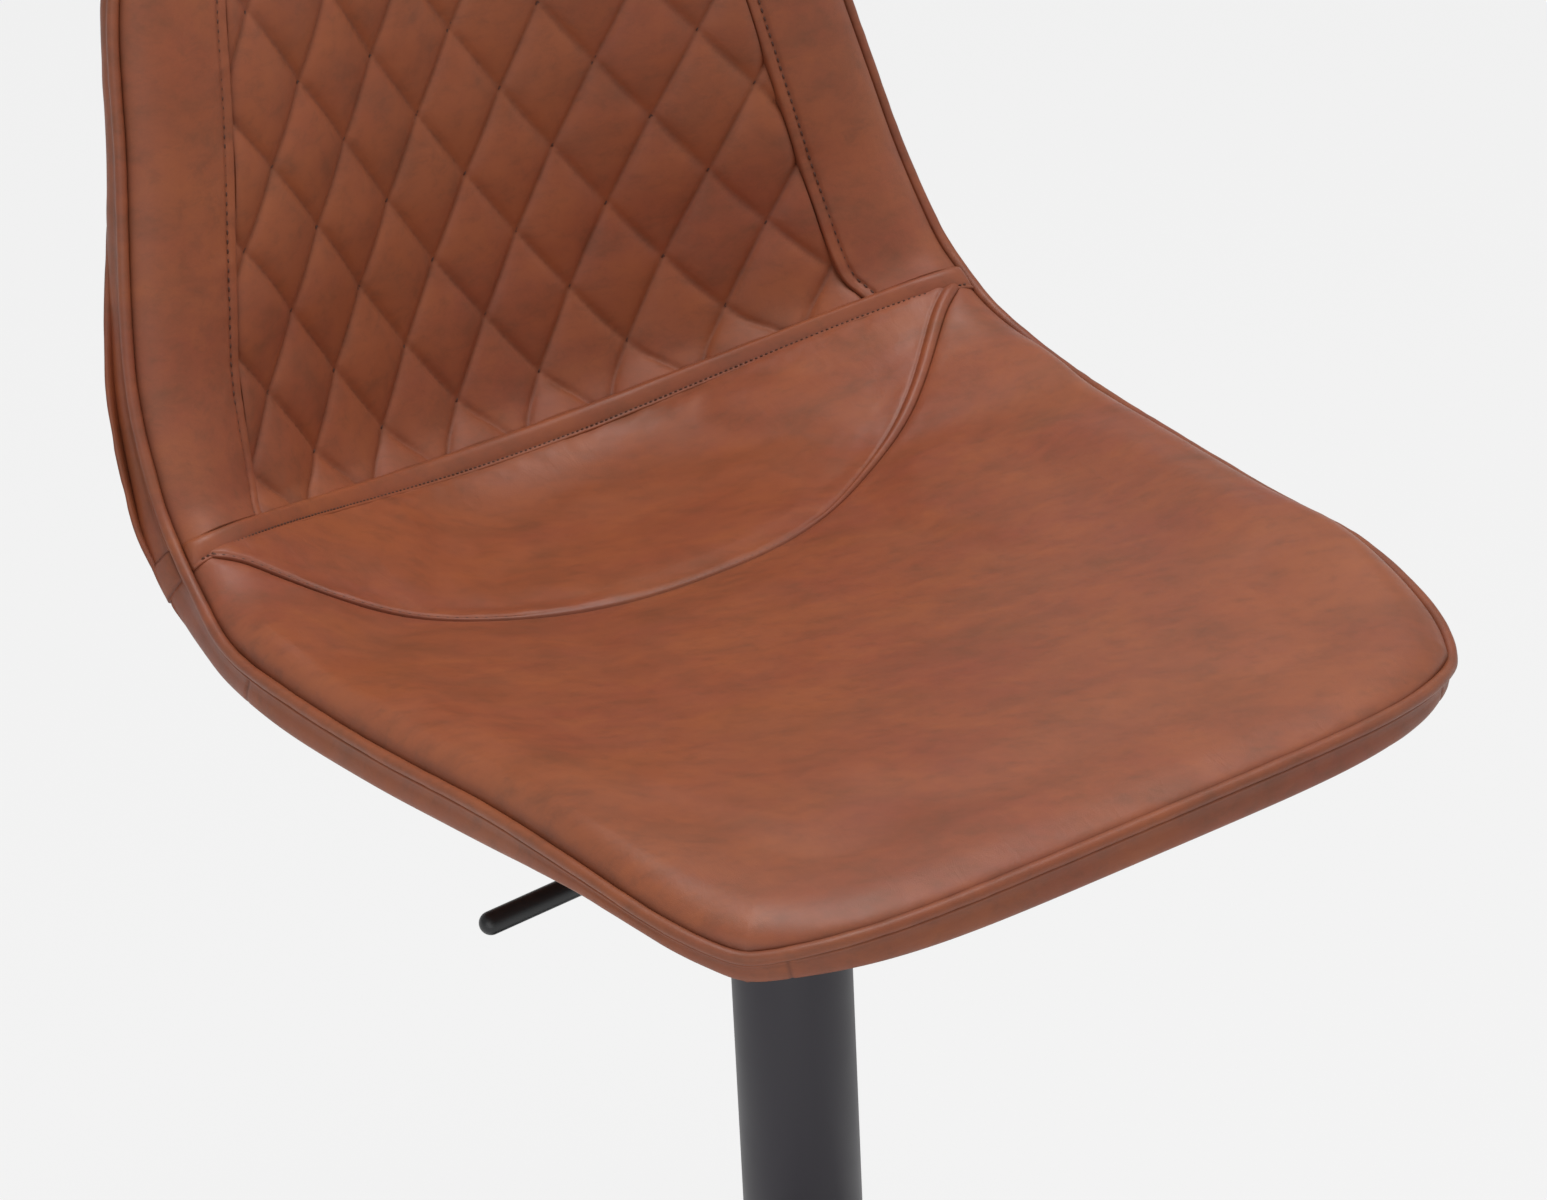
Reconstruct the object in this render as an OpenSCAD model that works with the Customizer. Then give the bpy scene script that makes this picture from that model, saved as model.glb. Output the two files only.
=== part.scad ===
// Swivel counter stool: a quilted bucket seat on a gas lift column with a round base.
// The column's axis is X = 0, Y = 0, the floor is Z = 0, and the seat faces -Y.

/* [Seat] */
// Height of the front edge's piping above the floor
seat_edge_h = 692; // [640:1:760]
// Widest distance between the side pipings
seat_w = 470; // [400:1:520]
// From the column's axis to the front piping
seat_front = 292; // [240:1:330]
// From the column's axis to the back panel
seat_rear = 266; // [240:1:290]
// Depth of the pan under the front edge
pan_drop = 67; // [50:1:80]
// Height of the back above the front edge
back_rise = 322; // [260:1:380]
// Thickness of the upholstered shell under the lowest point of the pan
pan_under = 40; // [36:1:50]
// Thickness of the upholstered shell at its edge
edge_t = 12; // [11.5:0.5:16]
// Thickness that the table of rows multiplies under the middle of each row
core_t = 22; // [20:1:26]

/* [Upholstery] */
// Diameter of the piping
piping_d = 6; // [4:0.5:8]
// How far the seat panel stands above its edge
seat_crown = 9; // [4:0.5:14]
// How far the bolsters and the quilted panel stand above their edges
back_crown = 6; // [3:0.5:10]
// Height of a quilted diamond's puff
quilt_puff = 6; // [2:0.5:9]
// Thickness of the leather and its lining
leather_t = 2.5; // [1.5:0.1:3]
// Width of half a diamond of the quilting
quilt_w = 24.7; // [18:0.2:30]
// Height of half a diamond of the quilting
quilt_h = 38.7; // [30:0.1:50]
// Width of the strap band across the hip
strap_w = 13; // [8:0.5:20]
// Thickness of the moulded plywood shell
shell_t = 6; // [5:0.5:6.5]

/* [Column] */
// Outside diameter of the cover tube
cover_d = 60; // [58:1:66]
// Length of the cover tube
cover_len = 273; // [262:1:276]
// Outside diameter of the lower column
column_d = 50; // [46:1:52]
// Gap between the lower column and the taper socket when the seat is at its lowest
column_gap = 7; // [5:1:20]
// Wall of both tubes
tube_wall = 2; // [1.5:0.1:2.5]
// Lift of the seat above the rest height
lift_up = 125; // [80:1:125]
// Drop of the seat below the rest height
lift_down = 55; // [30:1:55]

/* [Gas spring] */
// Outside diameter of the pressure tube
pressure_d = 28; // [26:0.5:30]
// Wall of the pressure tube
pressure_wall = 1.5; // [1.2:0.1:2]
// Diameter of the piston rod
rod_d = 10; // [8:0.5:12]
// Radial clearance of every running fit
run_fit = 0.05; // [0.02:0.01:0.09]

/* [Lever] */
// Diameter of the lever's rod
lever_d = 8; // [6:0.5:9]
// Diameter of the lever's sleeve
sleeve_d = 11.5; // [10.5:0.5:15]
// From the column's axis to the lever's tip
lever_reach = 172; // [120:1:190]
// Slope of the lever below level
lever_slope = 2.4; // [0:0.1:4]

/* [Base] */
// Diameter of the round base
base_d = 400; // [360:1:450]
// Height of the base's cover at the column
base_h = 44; // [38:1:52]
// Thickness of the base's ballast plate
ballast_t = 8; // [6:1:10]
// Thickness of the floor pad
pad_t = 3; // [2:0.5:4]

/* [Footrest] */
// Height of the footrest's centre line
footrest_h = 185; // [165:1:188]
// From the column's axis to the front of the footrest's loop
footrest_reach = 215; // [180:1:230]
// Radius of the footrest's loop
loop_r = 105; // [95:1:115]
// Diameter of the footrest's tube
footrest_d = 22; // [18:1:25]

/* [Hidden] */
$fn = 72;

// Overrun of every cut
cut = 1;
// Distance between soft pieces that lie against each other
lay = 0.3;
leather_color = "sienna";
steel_color = "dimgray";
foam_color = "khaki";
ply_color = "burlywood";

// The form of the seat. Each row crosses the seat from the left edge to the right one. Its shares are: the
// centre's depth and height, the edge's width, depth and height, the power of the bow between them, the
// thickness under the centre, and how early the bow ends: at the edge with 1, and sooner with more.
// Depths in front of the column are shares of seat_front, those behind it are shares of seat_rear. Heights
// below the front edge are shares of pan_drop, those above it of back_rise. Widths are shares of half the
// seat's width and thicknesses are shares of core_t.
// The first and the last row only steer the curve at the ends.
row_shares = [
    [-1.06,  0.10, 0.73, -0.95, -0.20, 6.0, 0.7, 1.0],
    [-1.00,  0.00, 0.82, -0.90, -0.13, 5.5, 0.8, 1.0],
    [-0.86, -0.09, 0.89, -0.78, -0.05, 3.4, 1.5, 1.0],
    [-0.62, -0.22, 0.93, -0.57,  0.00, 2.6, 2.6, 1.0],
    [-0.31, -0.43, 0.94, -0.34, -0.09, 2.4, 4.0, 1.0],
    [ 0.00, -0.64, 0.97, -0.07, -0.21, 2.3, 3.6, 1.0],
    [ 0.30, -0.81, 0.99,  0.19, -0.28, 2.3, 3.0, 1.0],
    [ 0.53, -1.00, 1.00,  0.39, -0.27, 2.2, 2.3, 1.9],
    [ 0.75, -0.96, 0.98,  0.53, -0.10, 2.2, 1.9, 1.8],
    [ 0.88, -0.67, 0.97,  0.61,  0.02, 2.4, 1.8, 1.3],
    [ 0.95, -0.34, 0.96,  0.68,  0.07, 2.4, 1.7, 1.0],
    [ 0.99,  0.09, 0.94,  0.77,  0.19, 2.4, 1.6, 1.1],
    [ 1.01,  0.24, 0.91,  0.82,  0.32, 2.3, 1.6, 1.5],
    [ 1.03,  0.49, 0.85,  0.88,  0.54, 2.2, 1.6, 2.6],
    [ 1.05,  0.73, 0.79,  0.94,  0.78, 2.2, 1.3, 3.2],
    [ 1.07,  1.00, 0.64,  1.01,  0.95, 5.0, 0.7, 1.5],
    [ 1.08,  1.06, 0.48,  1.03,  0.99, 6.0, 0.6, 1.0]];
// Places along the rows: the strap's top, the crescent seam's middle, and the last row
strap_row_share = 8;
crescent_row_share = 4.63;
top_row_share = len(row_shares) - 3;
// How flat the crescent seam is
crescent_bow_share = 2.55;
// Where the bolsters start, at the strap and at the top, and where the crescent ends, in shares of the
// half width
bolster_low_share = 0.79;
bolster_high_share = 0.69;
crescent_end_share = 0.975;
// How many rows the crescent's ends stay below the strap
crescent_gap_share = 0.15;
// How flat a puff of the quilting is
puff_share = 0.6;
// How close to the outline a direction is still measured, across and along the rows
measure_s_share = 0.94;
measure_row_share = 0.4;
// How flat the underside is across, and how softly it runs out to the edge
under_bow_share = 4;
under_roll_share = 2;
// Width of the roll along an edge
roll_w = 34;
// Depth of a seam and the width of the roll beside it
seam_dip = 2.5;
seam_roll_w = 12;
// Gap between the piping's centre and the panels, and how far the shell and foam lie inside it
panel_inset = piping_d / 2 + 2 * lay;
core_inset = 1.5 * piping_d / 2 + 2 * lay;
// Extra inset at the four corners, in multiples of the inset, and how far it reaches
corner_share = 3;
corner_w = 100;
// How many rows an inset at the front or the top is spread over
ease_row_share = 2;
// Gap between a panel and the foam under it, wide enough for the facets of both
foam_gap = 1.5;

function depth_of(share) = share * (share < 0 ? seat_front : seat_rear);
function height_of(share) = seat_edge_h + share * (share < 0 ? pan_drop : back_rise);
rows = [for (r = row_shares) [depth_of(r[0]), height_of(r[1]), r[2] * seat_w / 2,
    depth_of(r[3]), height_of(r[4]), r[5], r[6] * core_t, r[7]]];
// Height of the flat underside that the seat plate is screwed to
under_z = seat_edge_h - pan_drop - pan_under;

// One row between the given ones, on a smooth curve through them
function row_at(t) =
    let (i = max(0, min(len(rows) - 4, floor(t))), u = t - i,
        a = rows[i], b = rows[i + 1], c = rows[i + 2], d = rows[i + 3])
    b + u / 2 * ((c - a) + u * ((2 * a - 5 * b + 4 * c - d) + u * (3 * b - a - 3 * c + d)));
// A point of the seat's form: s runs from -1 to 1 across, and t along the rows
function point_at(s, t) =
    let (r = row_at(t), g = 1 - pow(1 - pow(abs(s), r[5]), r[7]))
    [s * r[2], r[0] + (r[3] - r[0]) * g, r[1] + (r[4] - r[1]) * g];
function limit(v, low, high) = max(low, min(high, v));
function unit(v) = v / norm(v);
// The direction out of the form, towards the sitter, taken a little inside the corners
function normal_at(s, t) =
    let (e = 0.02, a = limit(s, -measure_s_share, measure_s_share),
        b = limit(t, measure_row_share, top_row_share - measure_row_share))
    unit(cross(point_at(a + e, b) - point_at(a - e, b), point_at(a, b + e) - point_at(a, b - e)));
function place(s, t, h) = point_at(s, t) + h * normal_at(s, t);

// How close a place is to one of the four corners, from 0 to 1
function corner_at(s, t) =
    let (side = (1 - abs(s)) * seat_w / 2,
        along = min(norm(point_at(1, t) - point_at(1, 0)),
            norm(point_at(1, t) - point_at(1, top_row_share))))
    pow(max(0, 1 - (side + along) / corner_w), 2);
// A place moved in from the edge
function inner_s(s, t, inset) = s * (1 - inset * (1 + corner_share * corner_at(s, t)) / (seat_w / 2));
function inner_t(s, t, inset) =
    let (e = 0.1, step = norm(point_at(s, e) - point_at(s, 0)) / e,
        high = norm(point_at(s, top_row_share) - point_at(s, top_row_share - e)) / e,
        first = inset * (1 + corner_share * corner_at(s, 0)) / step,
        last = inset * (1 + corner_share * corner_at(s, top_row_share)) / high)
    t + first * max(0, 1 - t / ease_row_share) - last * max(0, 1 - (top_row_share - t) / ease_row_share);
// Thickness of the shell under a place, and a point on its underside, which is flat over the seat plate
function thick_at(s, t) =
    let (r = row_at(t)) edge_t + (r[6] - edge_t) * pow(1 - pow(abs(s), under_bow_share), under_roll_share);
function under_at(s, t, lift) =
    let (p = place(s, t, lift - thick_at(s, t))) [p.x, p.y, max(p.z, under_z + lift)];

// Roll of a padded edge: 0 at the edge and 1 from the roll's width on
function roll(d, w) = let (x = limit(d / w, 0, 1)) sqrt(1 - (1 - x) * (1 - x));
function both(a, b) = a * b / max(norm([a, b]), lay);
// Distance from the nearest outline, with the sides and the ends blended
function edge_distance(s, t) =
    let (p = point_at(s, t))
    both(norm(p - point_at(s < 0 ? -1 : 1, t)),
        min(norm(p - point_at(s, 0)), norm(p - point_at(s, top_row_share))));

// Where the crescent seam and the strap's lower edge lie
strap_low_row = strap_row_share - strap_w / norm(point_at(0, strap_row_share)
    - point_at(0, strap_row_share - 1));
function crescent_at(s) =
    let (x = limit(abs(s) / crescent_end_share, 0, 1))
    crescent_row_share + (strap_low_row - crescent_gap_share - crescent_row_share)
        * pow(x, crescent_bow_share);

// Where the bolsters start on a row
function bolster_at(t) = bolster_low_share + (bolster_high_share - bolster_low_share)
    * (t - strap_row_share) / (top_row_share - strap_row_share);

// Evenly spaced values
function steps(from, to, count) = [for (i = [0:count]) from + (to - from) * i / count];

// A closed solid between two grids of points that match. With a weave of 0 or 1 the diagonals of its top
// alternate, and the weave says which of them come first.
module slab(top, low, weave = -1) {
    n = len(top);
    m = len(top[0]);
    points = concat([for (row = top) each row], [for (row = low) each row]);
    function at(i, j) = i * m + j;
    function under(i, j) = n * m + i * m + j;
    top_faces = [for (i = [0:n - 2], j = [0:m - 2])
        each weave >= 0 && (i + j + weave) % 2 == 1
            ? [[at(i, j), at(i, j + 1), at(i + 1, j)], [at(i + 1, j), at(i, j + 1), at(i + 1, j + 1)]]
            : [[at(i, j), at(i, j + 1), at(i + 1, j + 1)], [at(i, j), at(i + 1, j + 1), at(i + 1, j)]]];
    low_faces = [for (i = [0:n - 2], j = [0:m - 2])
        each [[under(i, j), under(i + 1, j + 1), under(i, j + 1)],
            [under(i, j), under(i + 1, j), under(i + 1, j + 1)]]];
    end_faces = [for (j = [0:m - 2])
        each [[at(0, j), under(0, j), under(0, j + 1)], [at(0, j), under(0, j + 1), at(0, j + 1)],
            [at(n - 1, j), under(n - 1, j + 1), under(n - 1, j)],
            [at(n - 1, j), at(n - 1, j + 1), under(n - 1, j + 1)]]];
    side_faces = [for (i = [0:n - 2])
        each [[at(i, 0), under(i + 1, 0), under(i, 0)], [at(i, 0), at(i + 1, 0), under(i + 1, 0)],
            [at(i, m - 1), under(i, m - 1), under(i + 1, m - 1)],
            [at(i, m - 1), under(i + 1, m - 1), at(i + 1, m - 1)]]];
    polyhedron(points, concat(top_faces, low_faces, end_faces, side_faces), 1);
}

// A solid swept along rings of points: closed on itself, or with flat ends
module sweep(rings, closed = true) {
    n = len(rings);
    m = len(rings[0]);
    last = closed ? n - 1 : n - 2;
    points = [for (ring = rings) each ring];
    sides = [for (i = [0:last], j = [0:m - 1])
        let (a = i * m + j, b = i * m + (j + 1) % m,
            c = ((i + 1) % n) * m + j, d = ((i + 1) % n) * m + (j + 1) % m)
        each [[a, b, d], [a, d, c]]];
    first_cap = [for (j = [1:m - 2]) [0, j + 1, j]];
    last_cap = [for (j = [1:m - 2]) [(n - 1) * m, (n - 1) * m + j, (n - 1) * m + j + 1]];
    polyhedron(points, closed ? sides : concat(sides, first_cap, last_cap), 1);
}

// The outline, as places [s, t]: the front, the right side, the top and the left side
front_steps = 20;
side_steps = 36;
top_steps = 14;
function side_places(s, from, to, count) = [for (t = steps(from, to, count)) [s, t]];
front_places = [for (s = steps(-1, 1, front_steps)) [s, 0]];
top_places = [for (s = steps(1, -1, top_steps)) [s, top_row_share]];
outline_places = concat(front_places, [for (i = [1:side_steps - 1]) [1, top_row_share * i / side_steps]],
    top_places, [for (i = [1:side_steps - 1]) [-1, top_row_share * (1 - i / side_steps)]]);
// The direction out of the outline in the seat's own surface
function outward_at(list, i, closed) =
    let (n = len(list), before = list[closed ? (i + n - 1) % n : max(0, i - 1)],
        after = list[closed ? (i + 1) % n : min(n - 1, i + 1)],
        along = unit(point_at(after[0], after[1]) - point_at(before[0], before[1])))
    unit(cross(along, normal_at(list[i][0], list[i][1])));
// A ring of points round one place of the outline, from pairs of outward distance and height
function ring_at(list, i, closed, profile) =
    let (q = list[i], p = point_at(q[0], q[1]), out = outward_at(list, i, closed),
        up = normal_at(q[0], q[1]))
    [for (c = profile) p + c[0] * out + c[1] * up];

// Padding of the seat panel above the form
function seat_height(s, t) =
    let (d = edge_distance(s, t), c = norm(point_at(s, t) - point_at(s, crescent_at(s))))
    leather_t + (seat_crown - seam_dip * (1 - roll(c, seam_roll_w))) * roll(d, roll_w);
seat_columns = 24;
seat_rows = 18;
module seat_panel() {
    grid = [for (a = steps(-1, 1, seat_columns)) [for (b = steps(0, 1, seat_rows))
        let (s = inner_s(a, b * crescent_at(a), panel_inset))
        [s, inner_t(s, b * (crescent_at(s) - lay / seam_roll_w), panel_inset)]]];
    color(leather_color)
    slab([for (line = grid) [for (q = line) place(q[0], q[1], seat_height(q[0], q[1]))]],
        [for (line = grid) [for (q = line) place(q[0], q[1], 0)]]);
}

hip_rows = 7;
function hip_height(s, t) =
    let (d = (1 - abs(s)) * seat_w / 2, c = norm(point_at(s, t) - point_at(s, crescent_at(s))),
        u = norm(point_at(s, t) - point_at(s, strap_low_row)))
    leather_t + (seat_crown - seam_dip * (1 - roll(min(c, u), seam_roll_w))) * roll(d, roll_w);
module hip_panel() {
    s_end = crescent_end_share - panel_inset / (seat_w / 2);
    grid = [for (s = steps(-s_end, s_end, seat_columns)) [for (b = steps(0, 1, hip_rows))
        let (first = crescent_at(s) + lay / seam_roll_w, last = strap_low_row - lay / seam_roll_w)
        [s, first + (last - first) * b]]];
    color(leather_color)
    slab([for (line = grid) [for (q = line) place(q[0], q[1], hip_height(q[0], q[1]))]],
        [for (line = grid) [for (q = line) place(q[0], q[1], 0)]]);
}

module strap() {
    s_end = 1 - panel_inset / (seat_w / 2);
    strap_list = steps(strap_low_row, strap_row_share - lay / strap_w, 2);
    grid = [for (s = steps(-s_end, s_end, seat_columns)) [for (t = strap_list) [s, t]]];
    color(leather_color)
    slab([for (line = grid) [for (q = line) place(q[0], q[1],
            2 * leather_t + seat_crown * roll((1 - abs(q[0])) * seat_w / 2, roll_w))]],
        [for (line = grid) [for (q = line) place(q[0], q[1], 0)]]);
}

// Quilting. Its diamonds keep their size up the back, so places on it are counted in half diamonds: across
// from the middle, and up the middle from the first crossing above the strap.
quilt_first = strap_row_share + 2 * lay / strap_w;
quilt_start = 30.7;
climb_step_share = 0.125;
climb_steps = floor((top_row_share - quilt_first) / climb_step_share);
climbs = [for (k = 0, t = quilt_first, up = 0; k <= climb_steps;
    k = k + 1, t = quilt_first + k * climb_step_share,
    up = up + norm(point_at(0, t) - point_at(0, t - climb_step_share))) [up, t]];
climb_total = climbs[climb_steps][0];
quilt_half = 2;
// Grid lines up the back: one at the strap, then on every crossing and half way between them, then the top
climb_first = ceil(-quilt_start / quilt_h * quilt_half + 0.5);
climb_last = floor((climb_total - quilt_start) / quilt_h * quilt_half - 1);
quilt_ups = concat([0], [for (k = [climb_first:climb_last]) quilt_start + k * quilt_h / quilt_half],
    [climb_total]);
// Grid lines across: those that would pass the bolsters' seams lie close beside each other along it
quilt_sides = ceil(bolster_low_share * row_at(strap_row_share)[2] / (quilt_w / quilt_half));
function quilt_across(k, bound) =
    sign(k) * min(abs(k) * quilt_w / quilt_half, bound - (quilt_sides - abs(k)) * leather_t / 2);
function quilt_height(across, up, s, t) =
    let (i = across / quilt_w, j = (up - quilt_start) / quilt_h + 1,
        a = abs(sin(90 * (i + j + 1))), b = abs(sin(90 * (i - j + 1))),
        top = norm(point_at(s, t) - point_at(s, top_row_share)))
    leather_t + (back_crown - seam_dip) * roll(top, roll_w) + quilt_puff * pow(a * b, puff_share);
module quilted_panel() {
    grid = [for (k = [-quilt_sides:quilt_sides]) [for (up = quilt_ups)
        let (t = lookup(up, climbs), half = row_at(t)[2],
            across = quilt_across(k, bolster_at(t) * half - 4 * lay), s = across / half)
        [across, up, s, min(t, inner_t(s, top_row_share, panel_inset))]]];
    color(leather_color)
    slab([for (line = grid) [for (q = line) place(q[2], q[3], quilt_height(q[0], q[1], q[2], q[3]))]],
        [for (line = grid) [for (q = line) place(q[2], q[3], 0)]], (quilt_sides - climb_first + 1) % 2);
}

bolster_columns = 4;
bolster_rows = 22;
function bolster_height(s, t) =
    let (d = edge_distance(s, t), c = (abs(s) - bolster_at(t)) * seat_w / 2)
    leather_t + back_crown * roll(d, roll_w / 2) + quilt_puff / 2 * roll(c, seam_roll_w);
module bolster(side) {
    first = strap_row_share + 2 * lay / strap_w;
    grid = [for (u = side > 0 ? steps(0, 1, bolster_columns) : steps(1, 0, bolster_columns))
        [for (t = steps(first, top_row_share, bolster_rows))
            let (start = bolster_at(t) + lay / (seat_w / 2),
                s = side * (start + (inner_s(1, t, panel_inset) - start) * u))
            [s, inner_t(s, t, panel_inset)]]];
    color(leather_color)
    slab([for (line = grid) [for (q = line) place(q[0], q[1], bolster_height(q[0], q[1]))]],
        [for (line = grid) [for (q = line) place(q[0], q[1], 0)]]);
}
module bolster_left() { bolster(-1); }
module bolster_right() { bolster(1); }

piping_sides = 8;
module piping() {
    profile = [for (k = [0:piping_sides - 1]) let (a = 360 * k / piping_sides)
        piping_d / 2 * [cos(a), sin(a)]];
    color(leather_color)
    sweep([for (i = [0:len(outline_places) - 1]) ring_at(outline_places, i, true, profile)]);
}

// The band under the piping, split where the strap runs round it
boxing_split_row = strap_row_share - 0.5;
boxing_top = -piping_d / 2 - 2 * lay;
function boxing_profile(depth) = [[-leather_t / 2, boxing_top], [-leather_t, -depth], [0, -depth],
    [leather_t / 2, -depth / 2], [leather_t / 2, boxing_top]];
module boxing(list) {
    color(leather_color)
    sweep([for (i = [0:len(list) - 1])
        ring_at(list, i, false, boxing_profile(thick_at(list[i][0], list[i][1])))], false);
}
module seat_boxing() {
    half = round(side_steps * boxing_split_row / top_row_share);
    boxing(concat(side_places(-1, boxing_split_row, 0, half),
        [for (i = [1:front_steps - 1]) front_places[i]], side_places(1, 0, boxing_split_row, half)));
}
module back_boxing() {
    first = boxing_split_row + 2 * lay / strap_w;
    half = side_steps - round(side_steps * boxing_split_row / top_row_share);
    boxing(concat(side_places(1, first, top_row_share, half), [for (i = [1:top_steps - 1]) top_places[i]],
        side_places(-1, top_row_share, first, half)));
}

// The strap's ends, folded round the boxing
tab_in = leather_t / 2 + lay;
tab_out = leather_t + lay;
tab_profile = [[tab_in, boxing_top], [tab_in, -edge_t / 2], [lay, -edge_t], [tab_in, -edge_t - lay],
    [tab_out, -edge_t / 2], [tab_out, boxing_top]];
tab_steps = 3;
module strap_tabs() {
    color(leather_color)
    for (s = [-1, 1]) {
        list = s < 0 ? side_places(s, strap_row_share, strap_low_row, tab_steps)
            : side_places(s, strap_low_row, strap_row_share, tab_steps);
        sweep([for (i = [0:tab_steps]) ring_at(list, i, false, tab_profile)], false);
    }
}

// Rows of the inner layers, which share one grid so that they nest
core_columns = 18;
core_step_share = 0.5;
seat_core_rows = steps(0, boxing_split_row, round(boxing_split_row / core_step_share));
back_core_rows = steps(boxing_split_row, top_row_share,
    round((top_row_share - boxing_split_row) / core_step_share));
function core_grid(list, inset) = [for (a = steps(-1, 1, core_columns)) [for (t = list)
    [inner_s(a, t, inset), inner_t(a, t, inset)]]];
// Heights of the layers above the underside
cover_top = leather_t - lay;
shell_low = leather_t;
shell_top = shell_low + shell_t;
foam_low = shell_top + lay;

module foam(list) {
    grid = core_grid(list, core_inset);
    color(foam_color)
    slab([for (line = grid) [for (q = line) place(q[0], q[1], foam_gap * (pow(q[0], 2) - 2))]],
        [for (line = grid) [for (q = line) under_at(q[0], q[1], foam_low)]]);
}
module seat_foam() { foam(seat_core_rows); }
module back_foam() {
    foam([for (t = back_core_rows) t == boxing_split_row ? t + lay / strap_w : t]);
}

// Places of the screws that hold the seat plate
plate_w = 190;
plate_d = 150;
plate_t = 3;
plate_round = 12;
screw_in = 20;
screw_x = plate_w / 2 - screw_in;
screw_y = plate_d / 2 - screw_in;
screw_d = 6;
screw_play = 0.5;
module at_screws() {
    for (x = [-screw_x, screw_x], y = [-screw_y, screw_y]) translate([x, y, 0]) children();
}

tee_wall = 1;
tee_barrel_d = screw_d + 2 * tee_wall;
tee_flange_d = 3 * screw_d;
tee_flange_t = screw_d / 4;
module seat_shell() {
    grid = core_grid(concat(seat_core_rows, [for (i = [1:len(back_core_rows) - 1]) back_core_rows[i]]),
        core_inset);
    color(ply_color)
    difference() {
        slab([for (line = grid) [for (q = line) under_at(q[0], q[1], shell_top)]],
            [for (line = grid) [for (q = line) under_at(q[0], q[1], shell_low)]]);
        at_screws() {
            translate([0, 0, under_z + shell_low - cut])
                cylinder(h = shell_t + 2 * cut, d = tee_barrel_d);
            translate([0, 0, under_z + shell_top - tee_flange_t])
                cylinder(h = tee_flange_t + cut, d = tee_flange_d);
        }
    }
}
module cover_skin(list) {
    grid = core_grid(list, core_inset);
    slab([for (line = grid) [for (q = line) under_at(q[0], q[1], cover_top)]],
        [for (line = grid) [for (q = line) under_at(q[0], q[1], 0)]]);
}
module under_cover() {
    color(leather_color)
    difference() {
        cover_skin(seat_core_rows);
        at_screws() translate([0, 0, under_z - cut]) cylinder(h = leather_t + 2 * cut, d = tee_barrel_d);
    }
}
module back_cover() {
    color(leather_color)
    cover_skin([for (t = back_core_rows) t == boxing_split_row ? t + lay / strap_w : t]);
}

// The seat plate and the lever's box, which is welded under it
plate_low = under_z - plate_t;
box_len = 90;
box_w = 50;
box_h = 40;
box_wall = 2.5;
box_low = plate_low - box_h;
// From the seat plate down to the lever's pivot
lever_drop = 27;
lever_z = plate_low - lever_drop;
pivot_out = 30;
pivot_x = -pivot_out;
pivot_d = 5;
module seat_plate() {
    color(steel_color)
    difference() {
        translate([0, 0, plate_low]) linear_extrude(plate_t) difference() {
            square([plate_w, plate_d], center = true);
            for (x = [-1, 1], y = [-1, 1])
                translate([x * plate_w / 2, y * plate_d / 2]) rotate(45)
                    square(plate_round, center = true);
        }
        at_screws() translate([0, 0, plate_low - cut])
            cylinder(h = plate_t + 2 * cut, d = screw_d + screw_play);
    }
}
screw_head_d = 2 * screw_d;
screw_head_t = screw_d / 2;
module seat_screws() {
    color(steel_color)
    at_screws() {
        translate([0, 0, plate_low - screw_head_t]) difference() {
            cylinder(h = screw_head_t, d = screw_head_d);
            translate([0, 0, -cut]) cylinder(h = screw_head_t / 2 + cut, d = screw_d * 0.6, $fn = 6);
        }
        translate([0, 0, plate_low]) cylinder(h = plate_t + shell_top - tee_flange_t, d = screw_d);
    }
}
module tee_nuts() {
    color(steel_color)
    at_screws() translate([0, 0, under_z]) difference() {
        union() {
            translate([0, 0, shell_low]) cylinder(h = shell_t - tee_flange_t, d = tee_barrel_d);
            translate([0, 0, shell_top - tee_flange_t]) cylinder(h = tee_flange_t, d = tee_flange_d);
        }
        cylinder(h = shell_top + cut, d = screw_d);
    }
}

// The gas spring's taper and the socket that holds it. The tube's end stands inside the lever's box, a
// little above the socket and the valve body.
tube_rise = 5;
tube_top = box_low + tube_rise;
tube_proud = 1;
taper_len = 40;
taper_in = 1;
taper_top_d = pressure_d - 2 * taper_in;
socket_wall = 4;
socket_top = tube_top - tube_proud;
socket_low = tube_top - taper_len;
module taper_socket() {
    color(steel_color)
    difference() {
        translate([0, 0, socket_low])
            cylinder(h = socket_top - socket_low, d = pressure_d + 2 * socket_wall);
        translate([0, 0, socket_low]) cylinder(h = taper_len, d1 = pressure_d, d2 = taper_top_d);
        translate([0, 0, socket_low - cut]) cylinder(h = 2 * cut, d = pressure_d);
    }
}
module lever_box() {
    color(steel_color)
    difference() {
        translate([-box_len / 2, -box_w / 2, box_low]) cube([box_len, box_w, box_h]);
        translate([-box_len / 2 + box_wall, -box_w / 2 + box_wall, box_low + box_wall])
            cube([box_len - 2 * box_wall, box_w - 2 * box_wall, box_h]);
        translate([0, 0, box_low - cut]) cylinder(h = box_wall + 2 * cut, d = pressure_d + 2 * socket_wall);
        translate([-box_len / 2 - cut, -lever_d, lever_z - 2 * lever_d])
            cube([box_wall + 2 * cut, 2 * lever_d, 4 * lever_d]);
        translate([pivot_x, 0, lever_z]) rotate([90, 0, 0])
            cylinder(h = box_w + 2 * cut, d = pivot_d, center = true);
    }
}
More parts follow.
